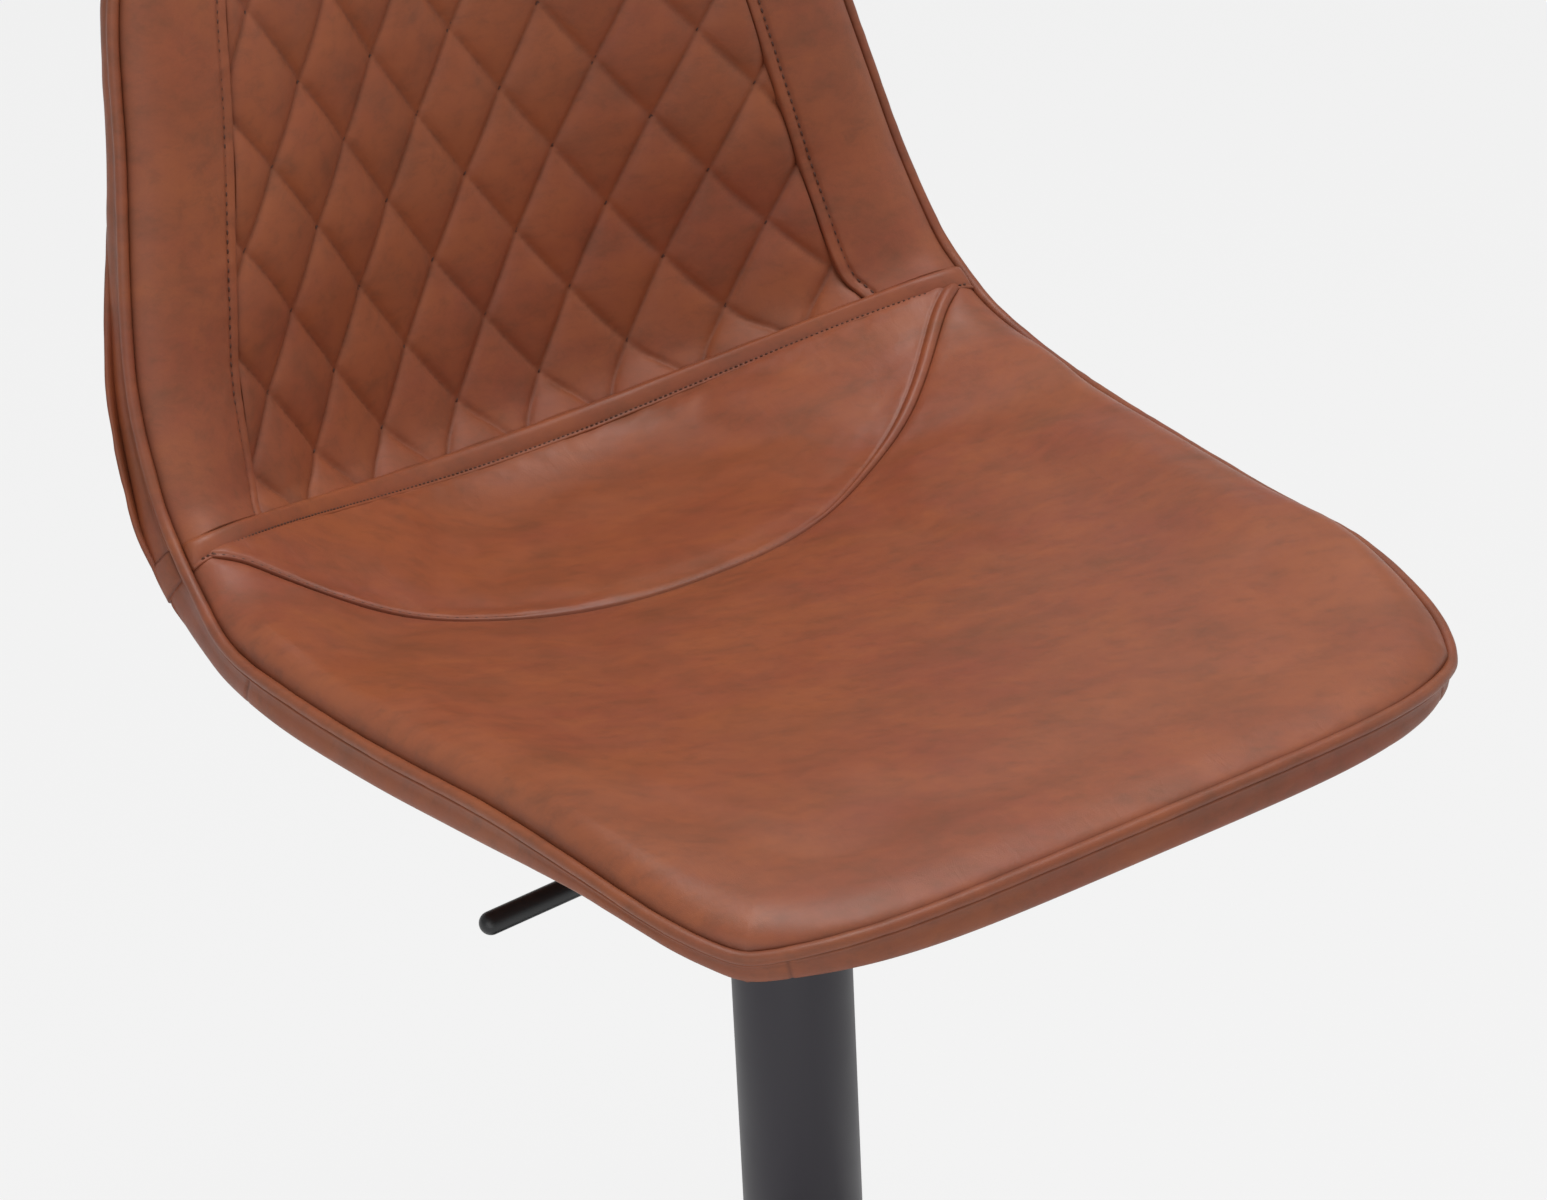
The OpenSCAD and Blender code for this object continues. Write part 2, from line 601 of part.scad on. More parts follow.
module pivot_pin() {
    color(steel_color)
    translate([pivot_x, 0, lever_z]) rotate([90, 0, 0]) {
        cylinder(h = box_w + pivot_d, d = pivot_d, center = true);
        for (side = [-1, 1]) translate([0, 0, side * (box_w + pivot_d / 2) / 2])
            cylinder(h = pivot_d / 2, d = 1.6 * pivot_d, center = true);
    }
}

// The lever: its hub turns on the pivot pin, and its inner arm lies over the valve pin
hub_wall = 4.5;
hub_d = pivot_d + 2 * hub_wall;
hub_w = 24;
arm_past = 6;
inner_arm = arm_past - pivot_x;
sleeve_len = 112;
module at_lever() { translate([pivot_x, 0, lever_z]) rotate([0, -90 - lever_slope, 0]) children(); }
module lever_rod() {
    color("black")
    difference() {
        union() {
            at_lever() translate([0, 0, -inner_arm])
                cylinder(h = inner_arm + lever_reach + pivot_x - sleeve_d, d = lever_d);
            translate([pivot_x, 0, lever_z]) rotate([90, 0, 0])
                cylinder(h = hub_w, d = hub_d, center = true);
        }
        translate([pivot_x, 0, lever_z]) rotate([90, 0, 0])
            cylinder(h = hub_w + 2 * cut, d = pivot_d + 2 * run_fit, center = true);
    }
}
module lever_sleeve() {
    tip = lever_reach + pivot_x;
    color("black")
    at_lever() difference() {
        union() {
            translate([0, 0, tip - sleeve_len]) cylinder(h = sleeve_len - sleeve_d / 2, d = sleeve_d);
            translate([0, 0, tip - sleeve_d / 2]) sphere(d = sleeve_d);
        }
        translate([0, 0, tip - sleeve_len - cut]) cylinder(h = sleeve_len + cut - sleeve_d, d = lever_d);
    }
}

// The gas spring
guide_len = 24;
// What is left of the tube inside the bushing, and of the stroke above the rod guide, at full lift
bushing_len = 75;
tube_spare = 5;
stroke_spare = 6;
column_top = socket_low - lift_down - column_gap;
tube_low = column_top - bushing_len - lift_up - tube_spare;
piston_low = tube_low + guide_len + lift_up + stroke_spare;
piston_len = 16;
valve_len = 37;
bore_d = pressure_d - 2 * pressure_wall;
pin_d = 8;
seal_t = 3;
module pressure_tube() {
    color("black")
    difference() {
        union() {
            translate([0, 0, tube_low]) cylinder(h = socket_low - tube_low, d = pressure_d);
            translate([0, 0, socket_low]) cylinder(h = taper_len, d1 = pressure_d, d2 = taper_top_d);
        }
        translate([0, 0, tube_low - cut]) cylinder(h = socket_low - tube_low + cut, d = bore_d);
        translate([0, 0, socket_low - cut]) cylinder(h = taper_len + 2 * cut, d = valve_d);
    }
}
valve_d = taper_top_d - 2 * pressure_wall;
module valve_body() {
    color("silver")
    difference() {
        translate([0, 0, tube_top - valve_len]) cylinder(h = valve_len - tube_proud, d = valve_d);
        translate([0, 0, tube_top - valve_len - cut])
            cylinder(h = valve_len + 2 * cut, d = pin_d + 2 * run_fit);
        translate([0, 0, tube_top - valve_len / 2]) ring_cut(valve_d, seal_t);
    }
}
// A groove round a cylinder, and the ring that fills it
module ring_cut(d, w) {
    difference() {
        cylinder(h = w, d = d + 2 * cut, center = true);
        cylinder(h = w + 2 * cut, d = d - w, center = true);
    }
}
module ring_fill(d, w) {
    difference() {
        cylinder(h = w, d = d, center = true);
        cylinder(h = w + 2 * cut, d = d - w, center = true);
    }
}
module valve_seal() {
    color("black") translate([0, 0, tube_top - valve_len / 2]) ring_fill(valve_d, seal_t);
}
pin_top = lever_z - pivot_x * tan(lever_slope) - lever_d / 2 / cos(lever_slope) - lay;
pin_past = 5;
module valve_pin() {
    pin_low = tube_top - valve_len - pin_past;
    color("silver") translate([0, 0, pin_low]) cylinder(h = pin_top - pin_low, d = pin_d);
}
module rod_guide() {
    color("silver")
    difference() {
        translate([0, 0, tube_low]) cylinder(h = guide_len - seal_t, d = bore_d);
        translate([0, 0, tube_low - cut]) cylinder(h = guide_len + 2 * cut, d = rod_d + 2 * run_fit);
    }
}
module rod_seal() {
    color("black")
    difference() {
        translate([0, 0, tube_low + guide_len - seal_t]) cylinder(h = seal_t, d = bore_d);
        translate([0, 0, tube_low + guide_len - seal_t - cut])
            cylinder(h = seal_t + 2 * cut, d = rod_d + 2 * run_fit);
    }
}

// The lower column and its foot
flange_low = pad_t + ballast_t;
flange_t = 8;
flange_d = 110;
spigot_h = 12;
column_low = flange_low + flange_t;
column_bore_d = column_d - 2 * tube_wall;
race_t = 2;
race_d = 30;
ball_d = 4;
ball_count = 12;
race_low = column_low + spigot_h;
shoulder_low = race_low + 2 * race_t + ball_d;
shoulder_t = 6;
rod_floor = 2;
rod_low = pad_t + rod_floor;
clip_t = 1.5;
module piston_rod() {
    color("silver")
    difference() {
        union() {
            translate([0, 0, rod_low]) cylinder(h = piston_low - rod_low, d = rod_d);
            translate([0, 0, shoulder_low]) cylinder(h = shoulder_t, d = 1.8 * rod_d);
        }
        translate([0, 0, flange_low - lay - clip_t / 2]) ring_cut(rod_d, clip_t);
    }
}
module rod_clip() {
    color(steel_color) translate([0, 0, flange_low - lay - clip_t / 2]) difference() {
        cylinder(h = clip_t, d = 1.8 * rod_d, center = true);
        cylinder(h = clip_t + 2 * cut, d = rod_d - clip_t, center = true);
    }
}
module piston() {
    color("silver")
    difference() {
        translate([0, 0, piston_low]) cylinder(h = piston_len, d = bore_d - 2 * run_fit);
        translate([0, 0, piston_low + piston_len / 2]) ring_cut(bore_d - 2 * run_fit, seal_t);
    }
}
module piston_seal() {
    color("black") translate([0, 0, piston_low + piston_len / 2]) ring_fill(bore_d - 2 * run_fit, seal_t);
}
bump_h = 14;
module bump_stop() {
    color("black")
    difference() {
        translate([0, 0, shoulder_low + shoulder_t]) cylinder(h = bump_h, d = 2.2 * rod_d);
        translate([0, 0, shoulder_low + shoulder_t - cut]) cylinder(h = bump_h + 2 * cut, d = rod_d);
    }
}
module race(z) {
    color("silver")
    difference() {
        translate([0, 0, z]) cylinder(h = race_t, d = race_d);
        translate([0, 0, z - cut]) cylinder(h = race_t + 2 * cut, d = rod_d + 2 * race_t);
    }
}
module lower_race() { race(race_low); }
module upper_race() { race(race_low + race_t + ball_d); }
ball_ring_r = (race_d + rod_d) / 4 + race_t / 2;
ball_run = 2 * run_fit;
module bearing_balls() {
    color("silver")
    for (k = [0:ball_count - 1]) rotate(360 * k / ball_count)
        translate([ball_ring_r, 0, race_low + race_t + ball_d / 2]) sphere(d = ball_d - ball_run, $fn = 24);
}
module bearing_cage() {
    color("ivory")
    difference() {
        translate([0, 0, race_low + race_t + ball_d / 4]) cylinder(h = ball_d / 2, d = race_d);
        translate([0, 0, race_low]) cylinder(h = 3 * ball_d, d = rod_d + 2 * race_t);
        for (k = [0:ball_count - 1]) rotate(360 * k / ball_count)
            translate([ball_ring_r, 0, race_low])
                cylinder(h = 3 * ball_d, d = ball_d + 2 * ball_run, $fn = 24);
    }
}
foot_bolt_d = 8;
foot_bolt_r = 42;
foot_bolt_count = 4;
module at_foot_bolts() {
    for (k = [0:foot_bolt_count - 1]) rotate(360 * (k + 0.5) / foot_bolt_count)
        translate([foot_bolt_r, 0, 0]) children();
}
module column_foot() {
    color(steel_color)
    difference() {
        union() {
            translate([0, 0, flange_low]) cylinder(h = flange_t, d = flange_d);
            translate([0, 0, column_low]) cylinder(h = spigot_h, d = column_bore_d);
        }
        translate([0, 0, flange_low - cut])
            cylinder(h = flange_t + spigot_h + 2 * cut, d = rod_d + 2 * run_fit);
        at_foot_bolts() translate([0, 0, flange_low - cut])
            cylinder(h = flange_t + 2 * cut, d = foot_bolt_d);
    }
}
module foot_bolts() {
    color(steel_color)
    at_foot_bolts() {
        translate([0, 0, pad_t]) difference() {
            cylinder(h = ballast_t / 2, d = 1.7 * foot_bolt_d);
            translate([0, 0, -cut]) cylinder(h = ballast_t / 4 + cut, d = foot_bolt_d * 0.7, $fn = 6);
        }
        translate([0, 0, pad_t + ballast_t / 2]) cylinder(h = ballast_t / 2 + flange_t, d = foot_bolt_d);
    }
}
module column_tube() {
    color("black")
    difference() {
        translate([0, 0, column_low]) cylinder(h = column_top - column_low, d = column_d);
        translate([0, 0, column_low - cut])
            cylinder(h = column_top - column_low + 2 * cut, d = column_bore_d);
    }
}
bushing_flange_t = 3;
module guide_bushing() {
    color("dimgray")
    difference() {
        union() {
            translate([0, 0, column_top - bushing_len]) cylinder(h = bushing_len, d = column_bore_d);
            translate([0, 0, column_top]) cylinder(h = bushing_flange_t, d = column_d);
        }
        translate([0, 0, column_top - bushing_len - cut])
            cylinder(h = bushing_len + bushing_flange_t + 2 * cut, d = pressure_d + 2 * run_fit);
    }
}

// The cover tube hangs from the socket and slides over the lower column
cover_top_z = box_low - 2 * lay;
cover_cap_h = 8;
cover_ring_h = 10;
cover_bore_d = cover_d - 2 * tube_wall;
module cover_tube() {
    color("black")
    difference() {
        translate([0, 0, cover_top_z - cover_len]) cylinder(h = cover_len, d = cover_d);
        translate([0, 0, cover_top_z - cover_len - cut]) cylinder(h = cover_len + 2 * cut, d = cover_bore_d);
    }
}
module cover_cap() {
    color("black")
    difference() {
        translate([0, 0, cover_top_z - cover_cap_h]) cylinder(h = cover_cap_h, d = cover_bore_d);
        translate([0, 0, cover_top_z - cover_cap_h - cut])
            cylinder(h = cover_cap_h + 2 * cut, d = pressure_d + 2 * socket_wall);
    }
}
module cover_ring() {
    color("dimgray")
    difference() {
        translate([0, 0, cover_top_z - cover_len]) cylinder(h = cover_ring_h, d = cover_bore_d);
        translate([0, 0, cover_top_z - cover_len - cut])
            cylinder(h = cover_ring_h + 2 * cut, d = column_d + 2 * run_fit);
    }
}

// The round base
base_wall = 2.5;
rim_h = 8;
neck_d = 90;
base_sweep_share = 0.55;
module base_profile(inset) {
    r = base_d / 2 - inset;
    low = pad_t;
    rise = base_h - inset;
    polygon(concat(
        [[0, low], [r, low]],
        [for (a = [0:10:80]) [r - rim_h * (1 - cos(a)), low + rim_h + (rim_h - inset) * sin(a)]],
        [for (a = [0:10:80])
            [neck_d / 2 + rim_h - (neck_d / 2 - column_d / 2) * sin(a),
                rise - (rise - low - 2 * rim_h) * base_sweep_share * pow(cos(a), 2)]],
        [[0, rise]]));
}
module base_cover() {
    color("black")
    difference() {
        rotate_extrude() base_profile(0);
        translate([0, 0, -base_wall / 2]) rotate_extrude() base_inner();
        translate([0, 0, pad_t]) cylinder(h = base_h + cut, d = column_d + 2 * run_fit);
    }
}
module base_inner() {
    intersection() {
        base_profile(base_wall);
        square([base_d, base_d]);
    }
}
module ballast_plate() {
    color(steel_color)
    difference() {
        translate([0, 0, pad_t]) cylinder(h = ballast_t, d = base_d - 2 * base_wall - 2 * rim_h);
        translate([0, 0, pad_t - cut]) cylinder(h = ballast_t + 2 * cut, d = 3 * rod_d);
        at_foot_bolts() {
            translate([0, 0, pad_t - cut]) cylinder(h = ballast_t + 2 * cut, d = foot_bolt_d);
            translate([0, 0, pad_t - cut]) cylinder(h = ballast_t / 2 + cut, d = 1.7 * foot_bolt_d);
        }
    }
}
pad_in = 1;
module floor_pad() { color("black") cylinder(h = pad_t, d = base_d - 2 * pad_in); }
collar_h = 14;
collar_w = 8;
module base_collar() {
    color("black")
    translate([0, 0, base_h]) rotate_extrude() polygon(concat(
        [[column_d / 2, 0], [column_d / 2 + collar_w, 0]],
        [for (a = [0:15:90]) [column_d / 2 + collar_w / 2 + collar_w / 2 * cos(a),
            collar_h - collar_w / 2 + collar_w / 2 * sin(a)]],
        [[column_d / 2, collar_h]]));
}

// The footrest: a round loop of tube whose ends are welded to a sleeve on the lower column
sleeve_h = 40;
sleeve_wall = 6;
module footrest_loop() {
    color("black")
    translate([0, 0, footrest_h]) difference() {
        translate([0, loop_r - footrest_reach, 0]) rotate_extrude() translate([loop_r, 0]) difference() {
            circle(d = footrest_d);
            circle(d = footrest_d - 2 * tube_wall);
        }
        cylinder(h = 2 * sleeve_h, d = column_d + 2 * sleeve_wall, center = true);
    }
}
set_screw_d = 8;
module footrest_sleeve() {
    color("black")
    translate([0, 0, footrest_h]) difference() {
        cylinder(h = sleeve_h, d = column_d + 2 * sleeve_wall, center = true);
        cylinder(h = sleeve_h + 2 * cut, d = column_d, center = true);
        at_set_screws() cylinder(h = column_d, d = set_screw_d);
    }
}
module at_set_screws() {
    for (z = [-sleeve_h / 4, sleeve_h / 4]) translate([0, 0, z]) rotate([-90, 0, 0]) children();
}
module footrest_screws() {
    color(steel_color)
    translate([0, 0, footrest_h]) at_set_screws() translate([0, 0, column_d / 2]) difference() {
        cylinder(h = sleeve_wall, d = set_screw_d);
        translate([0, 0, sleeve_wall / 2]) cylinder(h = sleeve_wall, d = set_screw_d / 2, $fn = 6);
    }
}

floor_pad();
base_cover();
ballast_plate();
column_foot();
foot_bolts();
base_collar();
column_tube();
guide_bushing();
footrest_sleeve();
footrest_loop();
footrest_screws();
lower_race();
bearing_cage();
bearing_balls();
upper_race();
rod_clip();
bump_stop();
piston_rod();
piston();
piston_seal();
pressure_tube();
rod_guide();
rod_seal();
valve_body();
valve_seal();
valve_pin();
cover_tube();
cover_ring();
cover_cap();
taper_socket();
lever_box();
seat_plate();
pivot_pin();
lever_rod();
lever_sleeve();
seat_screws();
tee_nuts();
seat_shell();
seat_foam();
back_foam();
under_cover();
back_cover();
seat_panel();
hip_panel();
strap();
strap_tabs();
quilted_panel();
bolster_left();
bolster_right();
piping();
seat_boxing();
back_boxing();
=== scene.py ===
import math
from functools import cache

import bpy
import numpy as np
from bpy.props import FloatProperty, FloatVectorProperty, PointerProperty
from mathutils import Matrix
from mathutils.kdtree import KDTree


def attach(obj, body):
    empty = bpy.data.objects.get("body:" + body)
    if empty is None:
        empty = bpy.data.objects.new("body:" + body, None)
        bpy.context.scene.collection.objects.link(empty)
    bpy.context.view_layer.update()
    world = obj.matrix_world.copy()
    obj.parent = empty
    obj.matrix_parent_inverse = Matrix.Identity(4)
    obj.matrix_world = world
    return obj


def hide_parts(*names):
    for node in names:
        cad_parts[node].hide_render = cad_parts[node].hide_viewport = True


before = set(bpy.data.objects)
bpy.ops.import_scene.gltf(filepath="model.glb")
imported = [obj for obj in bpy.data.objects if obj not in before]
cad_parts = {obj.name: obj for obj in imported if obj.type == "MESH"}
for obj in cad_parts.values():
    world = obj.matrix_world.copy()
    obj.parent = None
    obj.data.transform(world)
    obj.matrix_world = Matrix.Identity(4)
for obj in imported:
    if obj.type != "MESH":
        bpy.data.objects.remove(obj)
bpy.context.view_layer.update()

bl_info = {
    "name": "Swivel counter stool",
    "version": (1, 0, 0),
    "blender": (4, 2, 0),
    "location": "3D View > Sidebar > Stool",
    "description": "Upholstery, finishes and stage of a quilted leather counter stool",
    "category": "Object",
}

# The form of the seat, as in the part's source. Each row crosses the seat from the left edge to the right.
# Its shares are: the centre's depth and height, the edge's width, depth and height, the power of the bow
# between them, the thickness under the centre, how early the bow of the shell ends and how early that of
# the padding does: at the edge with 1, and sooner with more. Depths in front of the column are shares of
# the seat's front, those behind it of its rear. Heights below the front edge are shares of the pan's drop,
# those above it of the back's rise. The first and the last row only steer the curve at the ends.
ROW_SHARES = (
    (-1.06, 0.10, 0.73, -0.95, -0.20, 6.0, 0.7, 1.0, 1.0),
    (-1.00, 0.00, 0.82, -0.90, -0.13, 5.5, 0.8, 1.0, 1.0),
    (-0.86, -0.09, 0.89, -0.78, -0.05, 3.4, 1.5, 1.0, 1.0),
    (-0.62, -0.22, 0.93, -0.57, 0.00, 2.6, 2.6, 1.0, 1.0),
    (-0.31, -0.43, 0.94, -0.34, -0.09, 2.4, 4.0, 1.0, 1.0),
    (0.00, -0.64, 0.97, -0.07, -0.21, 2.3, 3.6, 1.0, 1.0),
    (0.30, -0.81, 0.99, 0.19, -0.28, 2.3, 3.0, 1.0, 1.0),
    (0.53, -1.00, 1.00, 0.39, -0.27, 2.2, 2.3, 1.9, 2.0),
    (0.75, -0.96, 0.98, 0.53, -0.10, 2.2, 1.9, 1.8, 2.0),
    (0.88, -0.67, 0.97, 0.61, 0.02, 2.4, 1.8, 1.3, 1.7),
    (0.95, -0.34, 0.96, 0.68, 0.07, 2.4, 1.7, 1.0, 1.8),
    (0.99, 0.09, 0.94, 0.77, 0.19, 2.4, 1.6, 1.1, 2.4),
    (1.01, 0.24, 0.91, 0.82, 0.32, 2.3, 1.6, 1.5, 3.1),
    (1.03, 0.49, 0.85, 0.88, 0.54, 2.2, 1.6, 2.6, 3.5),
    (1.05, 0.73, 0.79, 0.94, 0.78, 2.2, 1.3, 3.2, 3.5),
    (1.07, 1.00, 0.64, 1.01, 0.95, 5.0, 0.7, 1.5, 1.5),
    (1.08, 1.06, 0.48, 1.03, 0.99, 6.0, 0.6, 1.0, 1.0),
)
SHELL_END = 7
PADDING_END = 8
# Places along the rows: the strap's top, the crescent seam's middle, and the last row
STRAP_ROW = 8.0
CRESCENT_ROW = 4.63
TOP_ROW = 14.0
# How flat the crescent seam is, how far it reaches across, and how many rows its ends stay below the strap
CRESCENT_BOW = 2.55
CRESCENT_END = 0.975
CRESCENT_GAP = 0.03
# Where the bolsters start, at the strap and at the top, in shares of the half width
BOLSTER_LOW = 0.79
BOLSTER_HIGH = 0.69
# Depth of the band along the sides, as rows and multiples of the edge's depth
BAND_DEPTHS = ((0.0, 1.15), (1.3, 0.82), (2.0, 0.92), (3.0, 1.32), (5.5, 1.30), (6.3, 1.46), (7.1, 1.85),
               (8.0, 1.68), (9.2, 1.40), (11.5, 1.35), (12.6, 1.0), (14.0, 1.15))
# How flat the underside is across, and how softly it runs out to the edge
UNDER_BOW = 4
UNDER_ROLL = 2


def length(name, text, value):
    """A length property."""
    return FloatProperty(name=name, description=text, default=value, unit="LENGTH")


class StoolSizes(bpy.types.PropertyGroup):
    """The sizes that the upholstery is cut to."""

    seat_width: length("Seat width", "Between the centres of the piping", 0.470)
    seat_front: length("Seat front", "From the column's axis to the front edge", 0.292)
    seat_rear: length("Seat rear", "From the column's axis to the back", 0.266)
    edge_height: length("Edge height", "Height of the front edge above the floor", 0.692)
    pan_drop: length("Pan drop", "From the front edge down to the seat's lowest part", 0.067)
    pan_under: length("Pan thickness", "From the seat's lowest part down to the flat underside", 0.040)
    back_rise: length("Back rise", "From the front edge up to the back's top", 0.322)
    edge_depth: length("Edge depth", "What the band's depth is a multiple of", 0.012)
    core_depth: length("Core depth", "What the rows multiply to the thickness under their middle", 0.022)
    leather: length("Leather", "Thickness of the leather with its backing", 0.0025)
    piping: length("Piping", "Diameter of the piping", 0.006)
    seat_crown: length("Seat crown", "Rise of the seat's padding above its edge", 0.009)
    back_crown: length("Back crown", "Rise of the back's padding above its edge", 0.006)
    quilt_puff: length("Quilt puff", "Rise of a diamond above its stitching", 0.0060)
    quilt_width: length("Quilt width", "Half the width of a diamond", 0.0247)
    quilt_height: length("Quilt height", "Half the height of a diamond", 0.0387)
    quilt_start: length("Quilt start", "From the strap up to the first crossing", 0.0307)
    strap: length("Strap", "Width of the strap across the hip", 0.013)
    stitch: length("Stitch", "Length of one stitch with its gap", 0.0046)
    thread: length("Thread", "Thickness of the sewing thread", 0.0009)


def colour(name, text, value):
    """A colour property with an alpha of 1."""
    return FloatVectorProperty(name=name, description=text, default=(*value, 1.0), size=4, subtype="COLOR",
                               min=0.0, max=1.0)


class StoolColours(bpy.types.PropertyGroup):
    """The colours of the stool's finishes."""

    leather: colour("Leather", "Main colour of the seat's leather", (0.262, 0.074, 0.030))
    leather_red: colour("Leather, red", "Redder places in the leather", (0.250, 0.060, 0.030))
    leather_light: colour("Leather, light", "Orange, lighter places in the leather", (0.340, 0.096, 0.032))
    leather_dark: colour("Leather, dark", "Browner, darker flecks in the leather", (0.160, 0.054, 0.024))
    # Painted shade: the colour that the leather is darkened towards in seams, creases and under the piping
    crease_shade: colour("Crease", "Leather down in a seam", (0.070, 0.018, 0.008))
    thread: colour("Thread", "Sewing thread", (0.080, 0.024, 0.011))
    paint: colour("Paint", "Powder coat of the column and base", (0.020, 0.017, 0.024))
    plastic: colour("Plastic", "Black mouldings", (0.010, 0.011, 0.012))
    steel: colour("Steel", "Ground and plated steel", (0.56, 0.57, 0.58))
    rubber: colour("Rubber", "Rubber of the floor pad and the seals", (0.022, 0.022, 0.023))
    foam: colour("Foam", "Cushion foam", (0.72, 0.66, 0.45))
    plywood: colour("Plywood", "Moulded plywood shell", (0.50, 0.33, 0.17))
    iron: colour("Iron", "Cast iron ballast", (0.10, 0.095, 0.09))
    floor: colour("Floor", "Floor and backdrop", (0.80, 0.80, 0.80))


# Shapes in numbers

def smooth_step(x, low, high):
    """0 below low, 1 above high, and a smooth rise between them."""
    u = np.clip((x - low) / (high - low), 0, 1)
    return u * u * (3 - 2 * u)


def roll(distance, width):
    """Roll of a padded edge: 0 at the edge and 1 from the roll's width on."""
    x = np.clip(distance / width, 0, 1)
    return np.sqrt(1 - (1 - x) ** 2)


def ridge(distance, place, width):
    """A soft hump of height 1 at a distance from a seam."""
    return np.exp(-((distance - place) / width) ** 2)


def unit(vectors):
    """Vectors of length 1."""
    return vectors / np.linalg.norm(vectors, axis=-1, keepdims=True)


def soft_noise(points, size, seed):
    """Smooth noise from -1 to 1 whose blobs have the given size, the same in every run."""
    count = 4096
    values = np.random.RandomState(seed).uniform(-1, 1, count)
    # Far from zero, where the numbers taken below would come again in reverse
    cell = np.asarray(points) / size + 100.0
    whole = np.floor(cell).astype(int)
    part = cell - whole
    part = part * part * (3 - 2 * part)
    total = 0
    for corner in np.ndindex(2, 2, 2):
        index = (whole + corner) @ (73, 179, 283)
        weight = np.abs(1 - np.array(corner) - part).prod(-1)
        total = total + values[(index * (index + 31)) % count] * weight
    return total


def curve(a, b, c, d, u):
    """A value on the smooth curve through four, from the second at 0 to the third at 1."""
    return b + u / 2 * ((c - a) + u * ((2 * a - 5 * b + 4 * c - d) + u * (3 * b - a - 3 * c + d)))


def arc_lengths(line):
    """Length along a line of points up to each of them."""
    return np.concatenate([[0], np.cumsum(np.linalg.norm(np.diff(line, axis=0), axis=1))])


def evenly(line, spacing, *others):
    """A line of points at an even spacing, and what goes with each point."""
    along = arc_lengths(line)
    places = np.linspace(0, along[-1], max(2, int(round(along[-1] / spacing)) + 1))
    spread = [np.stack([np.interp(places, along, values[:, k]) for k in range(values.shape[1])], 1)
              for values in (line, *others)]
    return spread if others else spread[0]


def distance_to(points, line):
    """Distance from each point to a line of close points."""
    tree = KDTree(len(line))
    for i, place in enumerate(line):
        tree.insert(place, i)
    tree.balance()
    flat = points.reshape(-1, 3)
    nearest = np.array([tree.find(p)[1] for p in flat])
    best = np.full(len(flat), np.inf)
    for first in (np.clip(nearest - 1, 0, len(line) - 2), np.clip(nearest, 0, len(line) - 2)):
        a, b = line[first], line[first + 1]
        share = np.clip(((flat - a) * (b - a)).sum(1) / ((b - a) ** 2).sum(1), 0, 1)
        best = np.minimum(best, np.linalg.norm(flat - a - share[:, None] * (b - a), axis=1))
    return best.reshape(points.shape[:-1])


